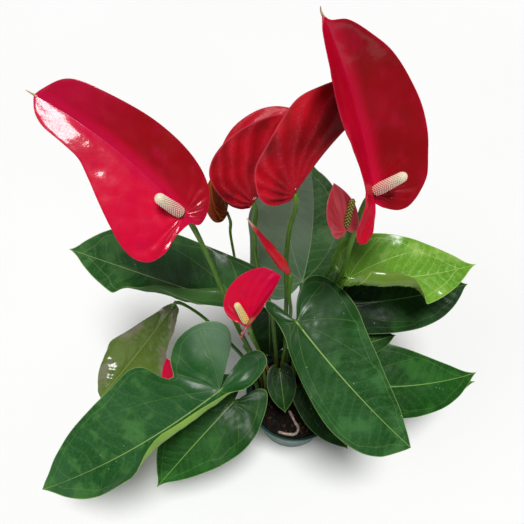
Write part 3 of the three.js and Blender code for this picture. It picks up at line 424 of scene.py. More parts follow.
# What holds for a blade, a half or a spadix where its own entry says nothing else. Rib is the height
# of the midrib below and ridge above, sink how far the main side veins lie in the blade, uneven and
# crinkle the heights of its large and small swells, relief how plainly the side veins swell, and
# gather how much more of that there is by the joint. Lean is how far a stalk's end leans with its
# spadix.
BLADE_FORM = dict(size="large", bow=0, sweep=0, wave=0, waves=2.5, uneven=1.2, relief=1)
LEAF_FORM = dict(
    BLADE_FORM, slot="leaf", look="leaf_mature", outline=LEAF_OUTLINE, thickness=LEAF_THICKNESS,
    rib=1.3, ridge=0.3, sink=0.3, crinkle=0.25, gather=0, veins=LEAF_VEINS,
)
SPATHE_FORM = dict(
    BLADE_FORM, slot="spathe", look="spathe_red", outline=SPATHE_OUTLINE, thickness=SPATHE_THICKNESS,
    rib=0.5, ridge=-0.2, sink=0, crinkle=0.4, gather=2.6, veins=SPATHE_VEINS, lean=1,
)
HALF_FORM = dict(fold=0, curl=0, full=1, lobe=1, wraps=False)
SPADIX_FORM = dict(slot="spadix_fresh", look="spadix_fresh", florets=2.5)

# ---------- curves and meshes ----------


def smooth(t):
    t = np.clip(t, 0, 1)
    return t * t * (3 - 2 * t)


def bell(distance, width):
    """1 on a line, falling smoothly to nothing a few widths away."""
    return np.exp(-((distance / width) ** 2))


def unit(v):
    return v / np.maximum(np.linalg.norm(v, axis=-1, keepdims=True), 1e-9)


def along(keys, s):
    """A value along the midrib: a plain number, or [place, value] pairs with smooth steps between."""
    s = np.asarray(s, float)
    if isinstance(keys, (int, float)):
        return np.full(s.shape, float(keys))
    value = np.full(s.shape, float(keys[0][1]))
    for (s0, a), (s1, b) in zip(keys, keys[1:]):
        value = np.where(s > s0, a + (b - a) * smooth((s - s0) / (s1 - s0)), value)
    return value


def spaced_curve(corners, count):
    """Evenly spaced points along the centripetal Catmull-Rom curve through the corners."""
    p = np.asarray(corners, float)
    p = np.vstack([2 * p[0] - p[1], p, 2 * p[-1] - p[-2]])
    t = np.linspace(0, 1, CURVE_STEPS + 1)[1:, None]
    dense = [p[1:2]]
    for p0, p1, p2, p3 in zip(p, p[1:], p[2:], p[3:]):
        d0, d1, d2 = (max(np.linalg.norm(b - a), 1e-6) ** 0.5 for a, b in ((p0, p1), (p1, p2), (p2, p3)))
        start = ((p1 - p0) / d0 - (p2 - p0) / (d0 + d1) + (p2 - p1) / d1) * d1
        end = ((p2 - p1) / d1 - (p3 - p1) / (d1 + d2) + (p3 - p2) / d2) * d1
        square = 3 * (p2 - p1) - 2 * start - end
        cube = 2 * (p1 - p2) + start + end
        dense.append(p1 + t * start + t**2 * square + t**3 * cube)
    dense = np.vstack(dense)
    length = np.concatenate([[0], np.cumsum(np.linalg.norm(np.diff(dense, axis=0), axis=1))])
    places = np.linspace(0, length[-1], count + 1)
    return np.stack([np.interp(places, length, dense[:, i]) for i in range(p.shape[1])], axis=1)


def placed(name, data):
    """A new object in the scene."""
    thing = bpy.data.objects.new(name, data)
    bpy.context.scene.collection.objects.link(thing)
    return thing


def make_piece(name, points, faces, look, slot, nodes=(), fields=None):
    """A mesh object from points in millimetres, riding on the plant's one body."""
    mesh = bpy.data.meshes.new(name)
    mesh.from_pydata((np.asarray(points) * MM).tolist(), [], [tuple(map(int, f)) for f in faces])
    mesh.update()
    for field, values in (fields or {}).items():
        values = np.asarray(values, np.float32)
        kind, key = ("FLOAT_VECTOR", "vector") if values.ndim == 2 else ("FLOAT", "value")
        mesh.attributes.new(field, kind, "POINT").data.foreach_set(key, values.ravel())
    mesh.polygons.foreach_set("use_smooth", [True] * len(mesh.polygons))
    mesh.materials.append(LOOKS[look])
    piece = placed(name, mesh)
    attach(piece, BODY)
    if nodes:
        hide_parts(*nodes)
    return piece


def tube(points, radii, sides, relief=None):
    """A closed tube: its points, faces and, for each point, its place along it from 0 to 1."""
    points = np.asarray(points, float)
    rings = len(points)
    tangents = unit(np.gradient(points, axis=0))
    side = np.array([1.0, 0.0, 0.0])
    angle = np.arange(sides) * TURN / sides
    body = []
    for i in range(rings):
        side = unit(side - side.dot(tangents[i]) * tangents[i])
        up = np.cross(tangents[i], side)
        r = radii[i] * (relief(i / (rings - 1), angle) if relief else np.ones(sides))
        body.append(points[i] + np.outer(r * np.cos(angle), side) + np.outer(r * np.sin(angle), up))
    turn = [(k, (k + 1) % sides) for k in range(sides)]
    starts = range(0, (rings - 1) * sides, sides)
    faces = [(i + k, i + n, i + n + sides, i + k + sides) for i in starts for k, n in turn]
    caps = [range(sides - 1, -1, -1), range((rings - 1) * sides, rings * sides)]
    return np.vstack(body), faces + [tuple(cap) for cap in caps], np.repeat(np.linspace(0, 1, rings), sides)


def joined(parts):
    """The points and faces of several parts as one."""
    points, faces, start = [], [], 0
    for part_points, part_faces in parts:
        points.append(part_points)
        faces += [tuple(start + i for i in face) for face in part_faces]
        start += len(part_points)
    return np.vstack(points), faces


# ---------- blades: one form for the leaves and the spathes ----------


class Blade:
    """The surface of a leaf blade or a spathe, which its two halves follow."""

    def __init__(self, shape):
        self.shape = shape
        self.sides = [dict(HALF_FORM, **shape[hand]) for hand in ("left", "right")]
        self.joint = np.array(shape["joint"], float)
        reach = np.array(shape["tip"], float) - self.joint
        self.length = float(np.linalg.norm(reach))
        self.ahead = reach / self.length
        up = np.array(shape["face"], float)
        self.up = unit(up - up.dot(self.ahead) * self.ahead)
        self.left = np.cross(self.up, self.ahead)

    def midrib(self, s):
        """The midrib's points at s, with the directions along, out of and across the blade."""
        t = np.clip(np.asarray(s, float), 0, 1)[..., None]
        bend = 4 * self.length * (self.up * self.shape["bow"] + self.left * self.shape["sweep"])
        point = self.joint + self.ahead * self.length * t + bend * t * (1 - t)
        tangent = unit(self.ahead * self.length + bend * (1 - 2 * t))
        out = unit(self.up - (tangent @ self.up)[..., None] * tangent)
        return point, tangent, out, np.cross(out, tangent)

    def surface(self, hand, s, w):
        """Points of the blade's middle surface, s along its length and w across it."""
        side = self.sides[hand]
        point, tangent, out, across = self.midrib(s)
        point = point + tangent * (np.minimum(s, 0) * self.length)[..., None]
        fold, curl = along(side["fold"], s), along(side["curl"], s)
        u = w / side["half"]
        x, y = np.zeros_like(w), np.zeros_like(w)
        for i in range(ARC_STEPS):
            angle = np.radians(fold + curl * u * (i + 0.5) / ARC_STEPS)
            x += np.cos(angle) * w / ARC_STEPS
            y += np.sin(angle) * w / ARC_STEPS
        y += self.shape["wave"] * np.sin(TURN * (self.shape["waves"] * s) + WAVE_SHIFT * hand) * u**2
        return point + across * (x if hand == 0 else -x)[..., None] + out * y[..., None]


def margin(side, outline, columns):
    """One side's margin, from its own outline or from the family's with its fullness and lobe."""
    shaped = [[s ** side["full"] if s > 0 else s * side["lobe"], w] for s, w in outline]
    return spaced_curve(side.get("outline", shaped), columns)


def vein_field(x, y, length, veins):
    """Each point's count of side veins from the joint, and the millimetres from one to the next."""
    a, b, c = STRAY_WAVES
    stray = VEIN_STRAY * np.sin(x / a + 2) * np.sin(y / b + x / c)
    if "rays" in veins:
        reach, turn = np.hypot(x, y), np.degrees(np.arctan2(y, x))
        bow = 1 - veins["bow"] * np.clip(reach / length, 0, 1)
        return turn / bow / veins["rays"] + stray, np.radians(veins["rays"]) * bow * np.maximum(reach, 1)
    spacing = veins["spacing"] * length
    ahead = x - veins["slant"] * y - veins["bend"] * y * y / length
    turn = np.degrees(np.arctan2(-ahead, np.maximum(y, 1e-3)))
    count = np.where(ahead > 0, ahead / spacing, -np.clip(turn, 0, 180) / veins["fan"])
    fanned = np.radians(veins["fan"]) * np.maximum(np.hypot(ahead, y), 1)
    return count + stray, np.minimum(np.where(ahead > 0, spacing * 0.85, fanned), spacing)


def arc_field(x, y, length):
    """Each point's distances from the main side veins, in millimetres, with a sign."""
    reach, turn = np.hypot(x, y), np.arctan2(y, x)
    lines = []
    for start, bow in ARCS:
        away = turn - math.radians(start) * (1 - bow * np.clip(reach / length, 0, 1))
        lines.append(reach * np.sin(np.clip(away, -math.pi / 2, math.pi / 2)))
    return lines


def half_sheet(blade, hand, edge, roots, rows):
    """One half's points in a grid from the midrib to the margin, and each point's fields."""
    side = blade.sides[hand]
    width = np.maximum(edge[:, 1], -1 if side["wraps"] else 0) * side["half"]
    width[0] = width[-1] = 0
    s = roots[:, None] + (edge[:, 0] - roots)[:, None] * rows
    w = width[:, None] * rows
    x, y = s * blade.length, np.abs(w)
    span = np.hypot((edge[:, 0] - roots) * blade.length, width)[:, None]
    count, step = vein_field(x, y, blade.length, blade.shape["veins"])
    fields = [count, step, y, s, span * (1 - rows), np.full_like(s, hand), *arc_field(x, y, blade.length)]
    return blade.surface(hand, s, w).reshape(-1, 3), np.stack(fields, -1).reshape(-1, len(fields))


def blade_sheet(blade, columns, rows):
    """The blade's middle surface: points, faces and each point's fields."""
    edges = [margin(side, blade.shape["outline"], columns) for side in blade.sides]
    lead = [edge[:, 0] - VEIN_SLANT * edge[:, 1] for edge in edges]
    roots = np.clip((lead[0] + lead[1]) / 2, 0, 1)
    roots[0] = 1
    points, fields, corners = [], [], []
    for hand, edge in enumerate(edges):
        half_points, half_fields = half_sheet(blade, hand, edge, roots, rows[None, :])
        index = hand * len(half_points) + np.arange(len(half_points)).reshape(columns + 1, len(rows))
        quads = np.stack([index[:-1, :-1], index[:-1, 1:], index[1:, 1:], index[1:, :-1]], -1)
        if edge[-1, 0] >= -0.01:
            quads = quads[:-1]
        corners.append((quads if hand == 0 else quads[..., ::-1]).reshape(-1, 4))
        points.append(half_points)
        fields.append(half_fields)
    return welded(np.vstack(points), np.vstack(fields), np.vstack(corners))


def welded(points, fields, corners):
    """Joins points that meet, as along the midrib, and drops the faces that close up."""
    _, first, same = np.unique(np.round(points, 2), axis=0, return_index=True, return_inverse=True)
    faces = [list(dict.fromkeys(corner)) for corner in same.reshape(-1)[corners].tolist()]
    return points[first], [face for face in faces if len(face) > 2], fields[first]


def sheet_normals(points, faces):
    normals = np.zeros_like(points)
    for face in faces:
        a, b, c = points[face[0]], points[face[1]], points[face[2]]
        cross = np.cross(b - a, c - a)
        if len(face) > 3:
            cross = cross + np.cross(c - a, points[face[3]] - a)
        normals[face] += cross
    return unit(normals)


def swells(points, size, depth, seed):
    """Low uneven swells over a blade, in millimetres."""
    shift = seed * 17.3
    return depth * np.array([noise.noise((p[0] / size + shift, p[1] / size, p[2] / size)) for p in points])


def blade_lift(shape, points, fields, fade):
    """How far each point stands out of the smooth blade, in millimetres."""
    count, step, rib, s, _, _, *arcs = fields.T
    gather = 1 + shape["gather"] * smooth((0.25 - s) / 0.35)
    swell = shape["veins"]["swell"] * shape["relief"] * gather
    lift = -swell * np.cos(TURN * count) * fade * smooth(step / 6)
    lift += swells(points, SWELL_SIZE, shape["uneven"], shape["joint"][0]) * smooth(rib / 8)
    crinkle = shape["crinkle"] * gather
    lift += swells(points, CRINKLE_SIZE, 1, shape["joint"][1]) * crinkle * smooth(rib / 6)
    for arc in arcs:
        lift -= shape["sink"] * bell(arc, ARC_WIDTH) * fade
    return lift


def closed_skin(faces, under):
    """A sheet's faces, the same turned over for its underside, and a strip round the rim."""
    rim = {}
    for face in faces:
        for a, b in zip(face, face[1:] + face[:1]):
            if (b, a) in rim:
                del rim[(b, a)]
            else:
                rim[(a, b)] = True
    lower = [tuple(under + i for i in reversed(face)) for face in faces]
    return faces + lower + [(b, a, under + a, under + b) for a, b in rim]


def blade_piece(name, blade, columns, row_count):
    """A blade as a closed skin with a rib below, grooves along its side veins and a thin margin."""
    shape = blade.shape
    near = np.array(RIB_ROWS) / max(side["half"] for side in blade.sides)
    evenly = np.linspace(near[-1], MARGIN_ROWS[0], row_count)[1:]
    rows = np.concatenate([near, evenly, MARGIN_ROWS[1:]])
    points, faces, fields = blade_sheet(blade, columns, rows)
    normals = sheet_normals(points, faces)
    count, step, rib, s, edge, hand, *arcs = fields.T
    fade = smooth(edge / 6) * smooth(rib / 4)
    points = points + normals * blade_lift(shape, points, fields, fade)[:, None]
    nearest = np.abs((count + 0.5) % 1 - 0.5) * step
    groove = shape["veins"]["groove"] * bell(nearest, GROOVE_WIDTH * step) * fade
    taper = smooth(s / 0.1) * smooth((1 - s) / 0.15)
    thin = shape["thickness"] * (0.5 + 0.5 * smooth(edge / 2.5)) / 2
    top = points + normals * (thin + shape["ridge"] * (bell(rib, RIDGE_WIDTH) * taper) - groove)[:, None]
    bottom = points - normals * (thin + shape["rib"] * bell(rib, RIB_WIDTH) * taper)[:, None]
    lower = np.repeat([0.0, 1.0], len(points))

    def double(*values):
        return np.stack([np.tile(value, 2) for value in values], 1)

    fields = {
        "vein": double(count, step, rib),
        "blade": np.column_stack([double(s, edge), lower]),
        "half": np.tile(hand, 2),
        "arcs": double(*arcs),
    }
    skin = closed_skin(faces, len(points))
    make_piece(name, np.vstack([top, bottom]), skin, shape["look"], shape["slot"], [name], fields)


# ---------- looks ----------


def colour(code):
    """An sRGB hex code as a linear colour."""
    parts = [int(code[i:i + 2], 16) / 255 for i in (1, 3, 5)]
    return tuple(c / 12.92 if c < 0.04 else ((c + 0.055) / 1.055) ** 2.4 for c in parts) + (1,)


LOOKS = {}


class Look:
    """One material, kept in LOOKS by its name: short calls that add and join its nodes."""

    def __init__(self, name, **settings):
        LOOKS[name] = bpy.data.materials.new(name)
        LOOKS[name].use_nodes = True
        self.tree = LOOKS[name].node_tree
        self.shader = self.tree.nodes["Principled BSDF"]
        for key, value in settings.items():
            self.set(key.replace("_", " ").title().replace("Ior", "IOR"), value)

    def put(self, socket, value):
        if isinstance(value, bpy.types.NodeSocket):
            self.tree.links.new(value, socket)
        else:
            socket.default_value = value

    def set(self, name, value):
        self.put(self.shader.inputs[name], value)

    def node(self, kind, inputs, **settings):
        node = self.tree.nodes.new(kind)
        for key, value in settings.items():
            setattr(node, key, value)
        for key, value in inputs.items():
            self.put(node.inputs[key], value)
        return node

    def math(self, operation, a, b=0.0):
        return self.node("ShaderNodeMath", {0: a, 1: b}, operation=operation).outputs[0]

    def times(self, a, b):
        return self.math("MULTIPLY", a, b)

    def plus(self, a, b):
        return self.math("ADD", a, b)

    def rest(self, value):
        return self.math("SUBTRACT", 1.0, value)

    def blend(self, part, a, b):
        """From colour a to colour b by part. A colour is a hex code or comes from another node."""
        a, b = (colour(tint) if isinstance(tint, str) else tint for tint in (a, b))
        return self.node("ShaderNodeMix", {0: part, 6: a, 7: b}, data_type="RGBA").outputs[2]

    def layers(self, base, *layers):
        """Colours laid over a base one after another, each where its mask is."""
        for mask, tint in layers:
            base = self.blend(mask, base, tint)
        return base

    def band(self, value, start, end, low=0.0, high=1.0):
        """Goes smoothly from low at start to high at end."""
        inputs = {"Value": value, "From Min": start, "From Max": end, "To Min": low, "To Max": high}
        return self.node("ShaderNodeMapRange", inputs, interpolation_type="SMOOTHSTEP").outputs[0]

    def fields(self, name):
        vector = self.node("ShaderNodeAttribute", {}, attribute_name=name).outputs["Vector"]
        return self.node("ShaderNodeSeparateXYZ", {0: vector}).outputs

    def field(self, name):
        return self.node("ShaderNodeAttribute", {}, attribute_name=name).outputs["Fac"]

    def place(self, stretch=ROUND):
        spot = self.node("ShaderNodeTexCoord", {}).outputs["Object"]
        return self.node("ShaderNodeMapping", {0: spot, 3: stretch}).outputs[0]

    def noise(self, size, detail=2.0, stretch=ROUND):
        """Unevenness of about the given size in millimetres."""
        inputs = {"Vector": self.place(stretch), "Scale": 1 / (size * MM), "Detail": detail}
        return self.node("ShaderNodeTexNoise", inputs).outputs[0]

    def patches(self, size, detail, start, end, low=0.0, high=1.0, stretch=ROUND):
        """Patches of about the given size, with edges between two levels of unevenness."""
        return self.band(self.noise(size, detail, stretch), start, end, low, high)

    def cells(self, size, feature="DISTANCE_TO_EDGE"):
        inputs = {"Vector": self.place(), "Scale": 1 / (size * MM)}
        return self.node("ShaderNodeTexVoronoi", inputs, feature=feature).outputs["Distance"]

    def relief(self, height, depth, strength=1.0, below=None):
        inputs = {"Height": height, "Distance": depth * MM, "Strength": strength}
        if below is not None:
            inputs["Normal"] = below
        return self.node("ShaderNodeBump", inputs).outputs[0]


def vein_lines(look, width):
    """Masks of the side veins, the main side veins and the midrib, and the distance to a side vein."""
    count, step, rib = look.fields("vein")
    s, edge, _ = look.fields("blade")
    turn = look.math("SUBTRACT", look.math("FRACT", look.plus(count, 0.5)), 0.5)
    nearest = look.times(look.math("ABSOLUTE", turn), step)
    inside = look.band(edge, 1.5, 10)
    line = look.times(look.band(nearest, 0, width, 1, 0), inside)
    arc = 0.0
    for distance in look.fields("arcs"):
        arc = look.math("MAXIMUM", arc, look.band(look.math("ABSOLUTE", distance), 0.1, width * 1.1, 1, 0))
    arc = look.times(look.times(arc, inside), look.band(s, 0.25, 0.8, 1, 0.15))
    middle = look.band(rib, look.band(s, 0, 1, 0.35, 0.1), look.band(s, 0, 1, 1.0, 0.45), 1, 0)
    return line, arc, look.times(middle, look.band(s, -0.03, 0.0)), nearest


def leaf_top(look, tints, lines, veins, base, lobe, left):
    """A leaf's upper skin: uneven green with paler veins, margin and a few pale flecks, painted shade
    towards the joint and painted sheen on some lobes and halves.
    """
    deep, mid, pale, vein, _ = tints
    line, arc, middle, nearest = lines
    s, edge, _ = look.fields("blade")
    half = look.field("half")
    strong = min(1, veins * 2.4)
    clouds = look.times(look.patches(22, 5, 0.5, 0.68), 0.7)
    beside_veins = look.band(nearest, 0, 4, 0.14, 0)
    mottle = look.patches(2.6, 4, 0.4, 0.7, 0, 0.3)
    pores = look.patches(1.2, 2, 0.3, 0.45, 0.25, 0)
    body = look.layers(
        look.blend(look.patches(60, 3, 0.3, 0.7), deep, mid),
        (clouds, pale), (beside_veins, pale), (mottle, pale), (pores, deep),
    )
    # Painted sheen: a pale tint over the left half, where a leaf has one.
    if left:
        body = look.blend(look.times(look.rest(half), 0.7), body, left)
    # Painted shade: darker towards the joint, where the blade runs in under the other leaves and stems.
    body = look.blend(look.band(s, 0.02, 0.45, base, 0), body, deep)
    # Painted sheen: a pale tint over the right lobe, where a leaf has one.
    if lobe:
        body = look.blend(look.times(look.band(s, -0.16, 0.02, 0.4, 0), half), body, lobe)
    ring = look.math("SUBTRACT", edge, look.patches(40, 1, 0.3, 0.7, 5, 11))
    ring = look.band(look.math("ABSOLUTE", ring), 0.1, 0.7, strong, 0)
    rim = look.band(edge, 0.2, 1.0, 0.7, 0)
    flecks = look.times(look.band(look.cells(7, "F1"), 0.03, 0.07, 0.8, 0), look.patches(20, 1, 0.5, 0.56))
    return look.layers(
        body, (look.times(line, veins), vein), (ring, vein), (look.times(arc, strong), vein),
        (look.times(middle, 0.75), vein), (rim, vein), (flecks, FLECK),
    )


def leaf_underside(look, tints, lines):
    """A leaf's paler and duller underside, with its midrib and main side veins."""
    _, mid, _, vein, under_tint = tints
    _, arc, middle, _ = lines
    below = look.blend(look.patches(30, 3, 0.3, 0.7, 0, 0.3), under_tint, mid)
    return look.blend(look.times(look.math("MAXIMUM", middle, arc), 0.7), below, vein)


def leaf_look(name, tints, shine, veins, coat=0.2, base=0.55, dry=None, lobe=None, left=None):
    """A leaf's skin. Its tints are the deep, the middle and the pale green, the veins and the underside.

    The veins, and the painted shade that darkens the base, show as much as their numbers say. Dry is the
    tint of a withered margin; lobe and left are painted sheen, pale tints laid on the right lobe and on the
    left half, where a leaf has them.
    """
    tints = tints.split()
    look = Look(name, specular_ior_level=0.16, coat_weight=coat, coat_roughness=0.16)
    lines = vein_lines(look, LEAF_VEIN_WIDTH)
    _, edge, under = look.fields("blade")
    top = leaf_top(look, tints, lines, veins, base, lobe, left)
    body = look.blend(look.times(under, 0.85), top, leaf_underside(look, tints, lines))
    if dry:
        corner = look.times(look.band(edge, 5, 18, 1, 0), look.patches(34, 3, 0.44, 0.54))
        body = look.blend(look.times(corner, 0.8), body, dry)
    look.set("Base Color", body)
    look.set("Roughness", look.patches(9, 3, 0.3, 0.7, shine - 0.06, shine + 0.12))
    net = look.relief(look.plus(look.cells(4.5), look.times(look.noise(1.1, 2), 0.5)), 0.1, 0.3)
    look.set("Normal", look.relief(look.math("MAXIMUM", lines[0], lines[1]), 0.25, 0.6, net))


def spathe_top(look, tints, line, blush):
    """A spathe's upper skin: one half painted lit and the other painted shaded, a painted highlight along
    the midrib, and pink by the midrib and the rim.
    """
    deep, painted_lit_red, pink = tints.split()
    s, edge, _ = look.fields("blade")
    rib = look.fields("vein")[2]
    # Painted light and shade: the left half lit, the right half deep, over random patches of tone.
    tone_and_painted_light = look.plus(look.times(look.rest(look.field("half")), 0.75), look.patches(50, 2, 0.3, 0.7, 0, 0.3))
    # Painted highlight: brighter along the keel of the midrib.
    tone_and_painted_light = look.math("MAXIMUM", tone_and_painted_light, look.band(rib, 2, 14, 0.75, 0))
    streaks = look.patches(14, 4, 0.5, 0.75, 0, 0.3, STREAKED)
    return look.layers(
        look.blend(tone_and_painted_light, deep, painted_lit_red),
        (look.band(rib, 1, 9, 0.45, 0), pink), (streaks, pink), (look.band(s, 0.4, 0.95, 0, blush), pink),
        (look.times(line, 0.14), deep), (look.band(edge, 0.1, 1.0, 0.45, 0), pink),
    )


def spathe_underside(look, tints, nearest):
    """A spathe's matt underside, speckled along its side veins: paler on their ridges as a painted
    highlight and deeper between them as painted shade.
    """
    deep, mid, pale = tints.split()
    edge = look.fields("blade")[1]
    # Nearness to a side vein's ridge: it thickens the speckles and lays on a painted highlight.
    ridge = look.rest(look.band(nearest, 0, 3.5))
    speckle = look.times(look.patches(1.5, 3, 0.5, 0.72), look.band(ridge, 0, 1, 0.12, 0.4))
    return look.layers(
        look.blend(look.patches(40, 3, 0.3, 0.7), deep, mid),
        # The ridge layer is a painted highlight on the side veins; the deep layer away from them is painted
        # shade in the hollows between.
        (speckle, pale), (look.times(ridge, 0.12), pale),
        (look.band(nearest, 2.5, 8, 0, 0.5), deep), (look.band(edge, 0.2, 1.8, 0.6, 0), pale),
    )


def spathe_look(name, tints, under_tints, coat, shine=0.34, lobe=1.0, blush=0.0):
    """A spathe's waxy skin. Its tints are deep, lit and pink, and deep, middle and pale below; the lit red
    is painted light on one half.

    The lobes have as much of the coat as lobe says, and the tip is as pink as blush says.
    """
    look = Look(name, specular_ior_level=0.13, coat_roughness=0.12)
    line, _, _, nearest = vein_lines(look, SPATHE_VEIN_WIDTH)
    s, _, under = look.fields("blade")
    top = spathe_top(look, tints, line, blush)
    look.set("Base Color", look.blend(under, top, spathe_underside(look, under_tints, nearest)))
    look.set("Coat Weight", look.times(look.rest(under), look.band(s, -0.08, 0.04, coat * lobe, coat)))
    rough = look.patches(12, 3, 0.3, 0.7, shine - 0.05, shine + 0.12)
    rough = look.plus(rough, look.band(s, -0.08, 0.04, 0.25 * (1 - lobe), 0))
    look.set("Roughness", look.plus(rough, look.times(under, 0.2)))
    fine = look.relief(look.plus(look.cells(2.4), look.noise(0.9, 2)), 0.08, 0.2)
    normal = look.relief(look.noise(11, 3), 0.8, 0.35, fine)
    normal = look.relief(look.noise(2.6, 4, STREAKED), 0.3, 0.35, normal)
    look.set("Normal", normal)
    look.set("Coat Normal", normal)


def spadix_look(name, base, tip, hollow_painted_shade, dot):
    """A spadix's skin: its base and tip tints, painted shade darkening the hollows between its florets, and
    paler tops.
    """
    look = Look(name, roughness=0.55, specular_ior_level=0.4)
    height = look.field("floret")
    look.set("Base Color", look.layers(
        look.blend(look.band(look.field("along"), 0.3, 1.0), base, tip),
        # Painted shade: darker in the hollows between the florets.
        (look.band(height, 0.6, 0.1, 0, 0.85), hollow_painted_shade),
        (look.band(height, 0.6, 0.9, 0, 0.8), dot),
    ))
    look.set("Normal", look.relief(look.noise(0.7, 2), 0.15, 0.4))


def stem_look(name, foot, middle, top):
    """A stem's skin, which changes tint from its foot to its top, with fine fibres along it."""
    look = Look(name, specular_ior_level=0.3, coat_weight=0.06, coat_roughness=0.25)
    t = look.field("along")
    look.set("Base Color", look.layers(
        look.blend(look.band(t, 0.0, 0.45), foot, middle),
        (look.band(t, 0.5, 1.0), top),
        (look.patches(2.2, 3, 0.42, 0.68, 0, 0.45, FIBROUS), foot),
        (look.patches(1.3, 2, 0.62, 0.72, 0, 0.35), foot),
    ))
    look.set("Roughness", look.patches(6, 2, 0.3, 0.7, 0.32, 0.5))
    look.set("Normal", look.relief(look.noise(1.5, 3, GRAINED), 0.15, 0.5))


def pot_look(name):
    """The pot's dull green plastic, clouded and a little scuffed."""
    look = Look(name, specular_ior_level=0.35)
    look.set("Base Color", look.layers(
        look.blend(look.patches(30, 3, 0.3, 0.7), "#2a4d46", "#3a6058"),
        (look.patches(5, 4, 0.58, 0.75, 0, 0.25, LAYERED), "#6d8a86"),
        (look.patches(2.5, 2, 0.64, 0.74, 0, 0.5), "#2f3f3a"),
    ))
    look.set("Roughness", look.patches(7, 3, 0.3, 0.7, 0.36, 0.55))
    look.set("Normal", look.relief(look.noise(1.6, 3), 0.08, 0.4))


def soil_look(name):
    """Moist peat, darkened beyond its own dark colour as painted shade under the leaves, with a few paler
    bits.
    """
    look = Look(name, roughness=0.95, specular_ior_level=0.25)
    body = look.blend(look.patches(6, 4, 0.35, 0.65), "#070504", "#17100b")
    look.set("Base Color", look.blend(look.patches(1.6, 3, 0.58, 0.75), body, "#3a2818"))
    look.set("Normal", look.relief(look.noise(1.4, 4), 1.2, 0.9))


def bark_look(name, dark, light):
    """Rough dry skin, as of bark, husk or an old root."""
    look = Look(name, roughness=0.85, specular_ior_level=0.3)
    look.set("Base Color", look.blend(look.patches(2.5, 4, 0.35, 0.68, 0, 1, LAYERED), dark, light))
    look.set("Normal", look.relief(look.noise(1.2, 4, LAYERED), 0.6, 0.7))


def floor_look(name):
    """Almost white paper."""
    look = Look(name, roughness=0.8, specular_ior_level=0.2)
    look.set("Base Color", look.blend(look.noise(400, 2), "#f4f4f3", "#fafafa"))
    look.set("Normal", look.relief(look.noise(3, 3), 0.1, 0.1))


leaf_look("leaf_mature", "#0b3a08 #174f12 #2f6a24 #8cb45a #4f7c36", shine=0.48, veins=0.06, coat=0.06)
# The rolled leaf's pale lobe tint is painted sheen.
leaf_look("leaf_rolled", "#164a1a #2c5c30 #457a3a #9cbb62 #93ba4a", shine=0.38, veins=0.05, coat=0.1,
    lobe="#86a688")
# The sheen leaf darkens more towards its joint: stronger painted shade.
leaf_look("leaf_sheen", "#13420f #2a5a2c #41743c #9fbd68 #6f9a4a", shine=0.42, veins=0.06, base=0.9)
leaf_look("leaf_grey", "#184a17 #2b5f2c #47793a #a6bf6e #3f6a2c", shine=0.46, veins=0.08)
# Leaves deep among the others: their near-black greens are painted shade.
leaf_look("leaf_painted_shade", "#041c03 #0d360a #205018 #6c8c44 #163a10", shine=0.48, veins=0.06, coat=0.05)
leaf_look("leaf_young", "#54901c #76ac2e #a2c862 #b4d46c #647b2d", shine=0.2, veins=0.2, coat=0.5)
leaf_look("leaf_hanging", "#3a5018 #5c7432 #8cac58 #7c9048 #566a2a", shine=0.2, veins=0.04, coat=0.5,
    dry="#7d7563")
# The back leaf's raised pale greens and its paler left half are painted sheen.
leaf_look("leaf_back", "#2a6428 #5f9a54 #8cc080 #c2dcb0 #2f5c38", shine=0.45, veins=0.22, left="#a8c0a8")
spathe_look("spathe_red", "#98000c #da0036 #c80446", "#700005 #b8001a #cc4056", coat=0.55, blush=0.4)
spathe_look("spathe_lobed", "#90000a #c80028 #dc0846", "#7c0006 #b4001a #cc4056", coat=0.5, lobe=0.0)
spathe_look("spathe_back", "#8c000a #b8001e #c4042c", "#6c0005 #bc0018 #cc4054", coat=0.05, shine=0.42)
spathe_look("spathe_aged", "#8a1424 #b4343f #cc5e68", "#861424 #ae3a44 #d08080", coat=0.3, shine=0.4)
spathe_look("spathe_old", "#5a1a04 #8c370c #a44e18", "#5c1c05 #903c0e #b05c24", coat=0.1, shine=0.48)
spadix_look("spadix_fresh", "#ec9488", "#fff2cc", "#b4705c", "#fffaea")
spadix_look("spadix_yellow", "#e6cc6c", "#f4e49c", "#a08838", "#fff8c8")
spadix_look("spadix_ripe", "#33400f", "#4a5a18", "#161c06", "#ccb848")
stem_look("stem_green", "#42380c", "#44700e", "#588a1c")
stem_look("petiole_green", "#3c300c", "#2c5c12", "#5c9028")
stem_look("shoot_sheath", "#8a4a30", "#b89048", "#b05a40")
stem_look("bud_red", "#c40018", "#e40030", "#f2dcbc")
bark_look("root_tan", "#8a7264", "#c8b2a6")
bark_look("bark_brown", "#1f140c", "#5a3c24")
bark_look("sheath_brown", "#4a2014", "#8a5138")
bark_look("thread_tan", "#b08a5c", "#e0c49a")
pot_look("pot_plastic")
soil_look("soil_peat")
floor_look("floor_paper")

# ---------- plant pieces ----------


def stem_route(stem, ending, count):
    x, y = stem["foot"]
    return spaced_curve([[x, y, STEM_BOTTOM], [x, y, SOIL_TOP + 2], *stem["via"], *ending], count)


def stem_piece(name, route, radii, look, slot, node, swelling=0.0):
    """A stem that widens at its foot, tapers along its route, and swells under what it carries."""
    foot, top = radii

    def radius(t):
        knee = swelling * math.exp(-(((t - 0.94) / 0.035) ** 2))
        return (foot + (top - foot) * t) * (1 + knee + 0.25 * max(0, 1 - t / 0.06) ** 2)

    def ribs(t, angle):
        return 1 + 0.02 * np.cos(5 * angle + 9 * t)

    places = np.arange(len(route)) / (len(route) - 1)
    points, faces, place = tube(route, [radius(t) for t in places], STEM_SIDES, ribs)
    make_piece(name, points, faces, look, slot, [node], {"along": place})


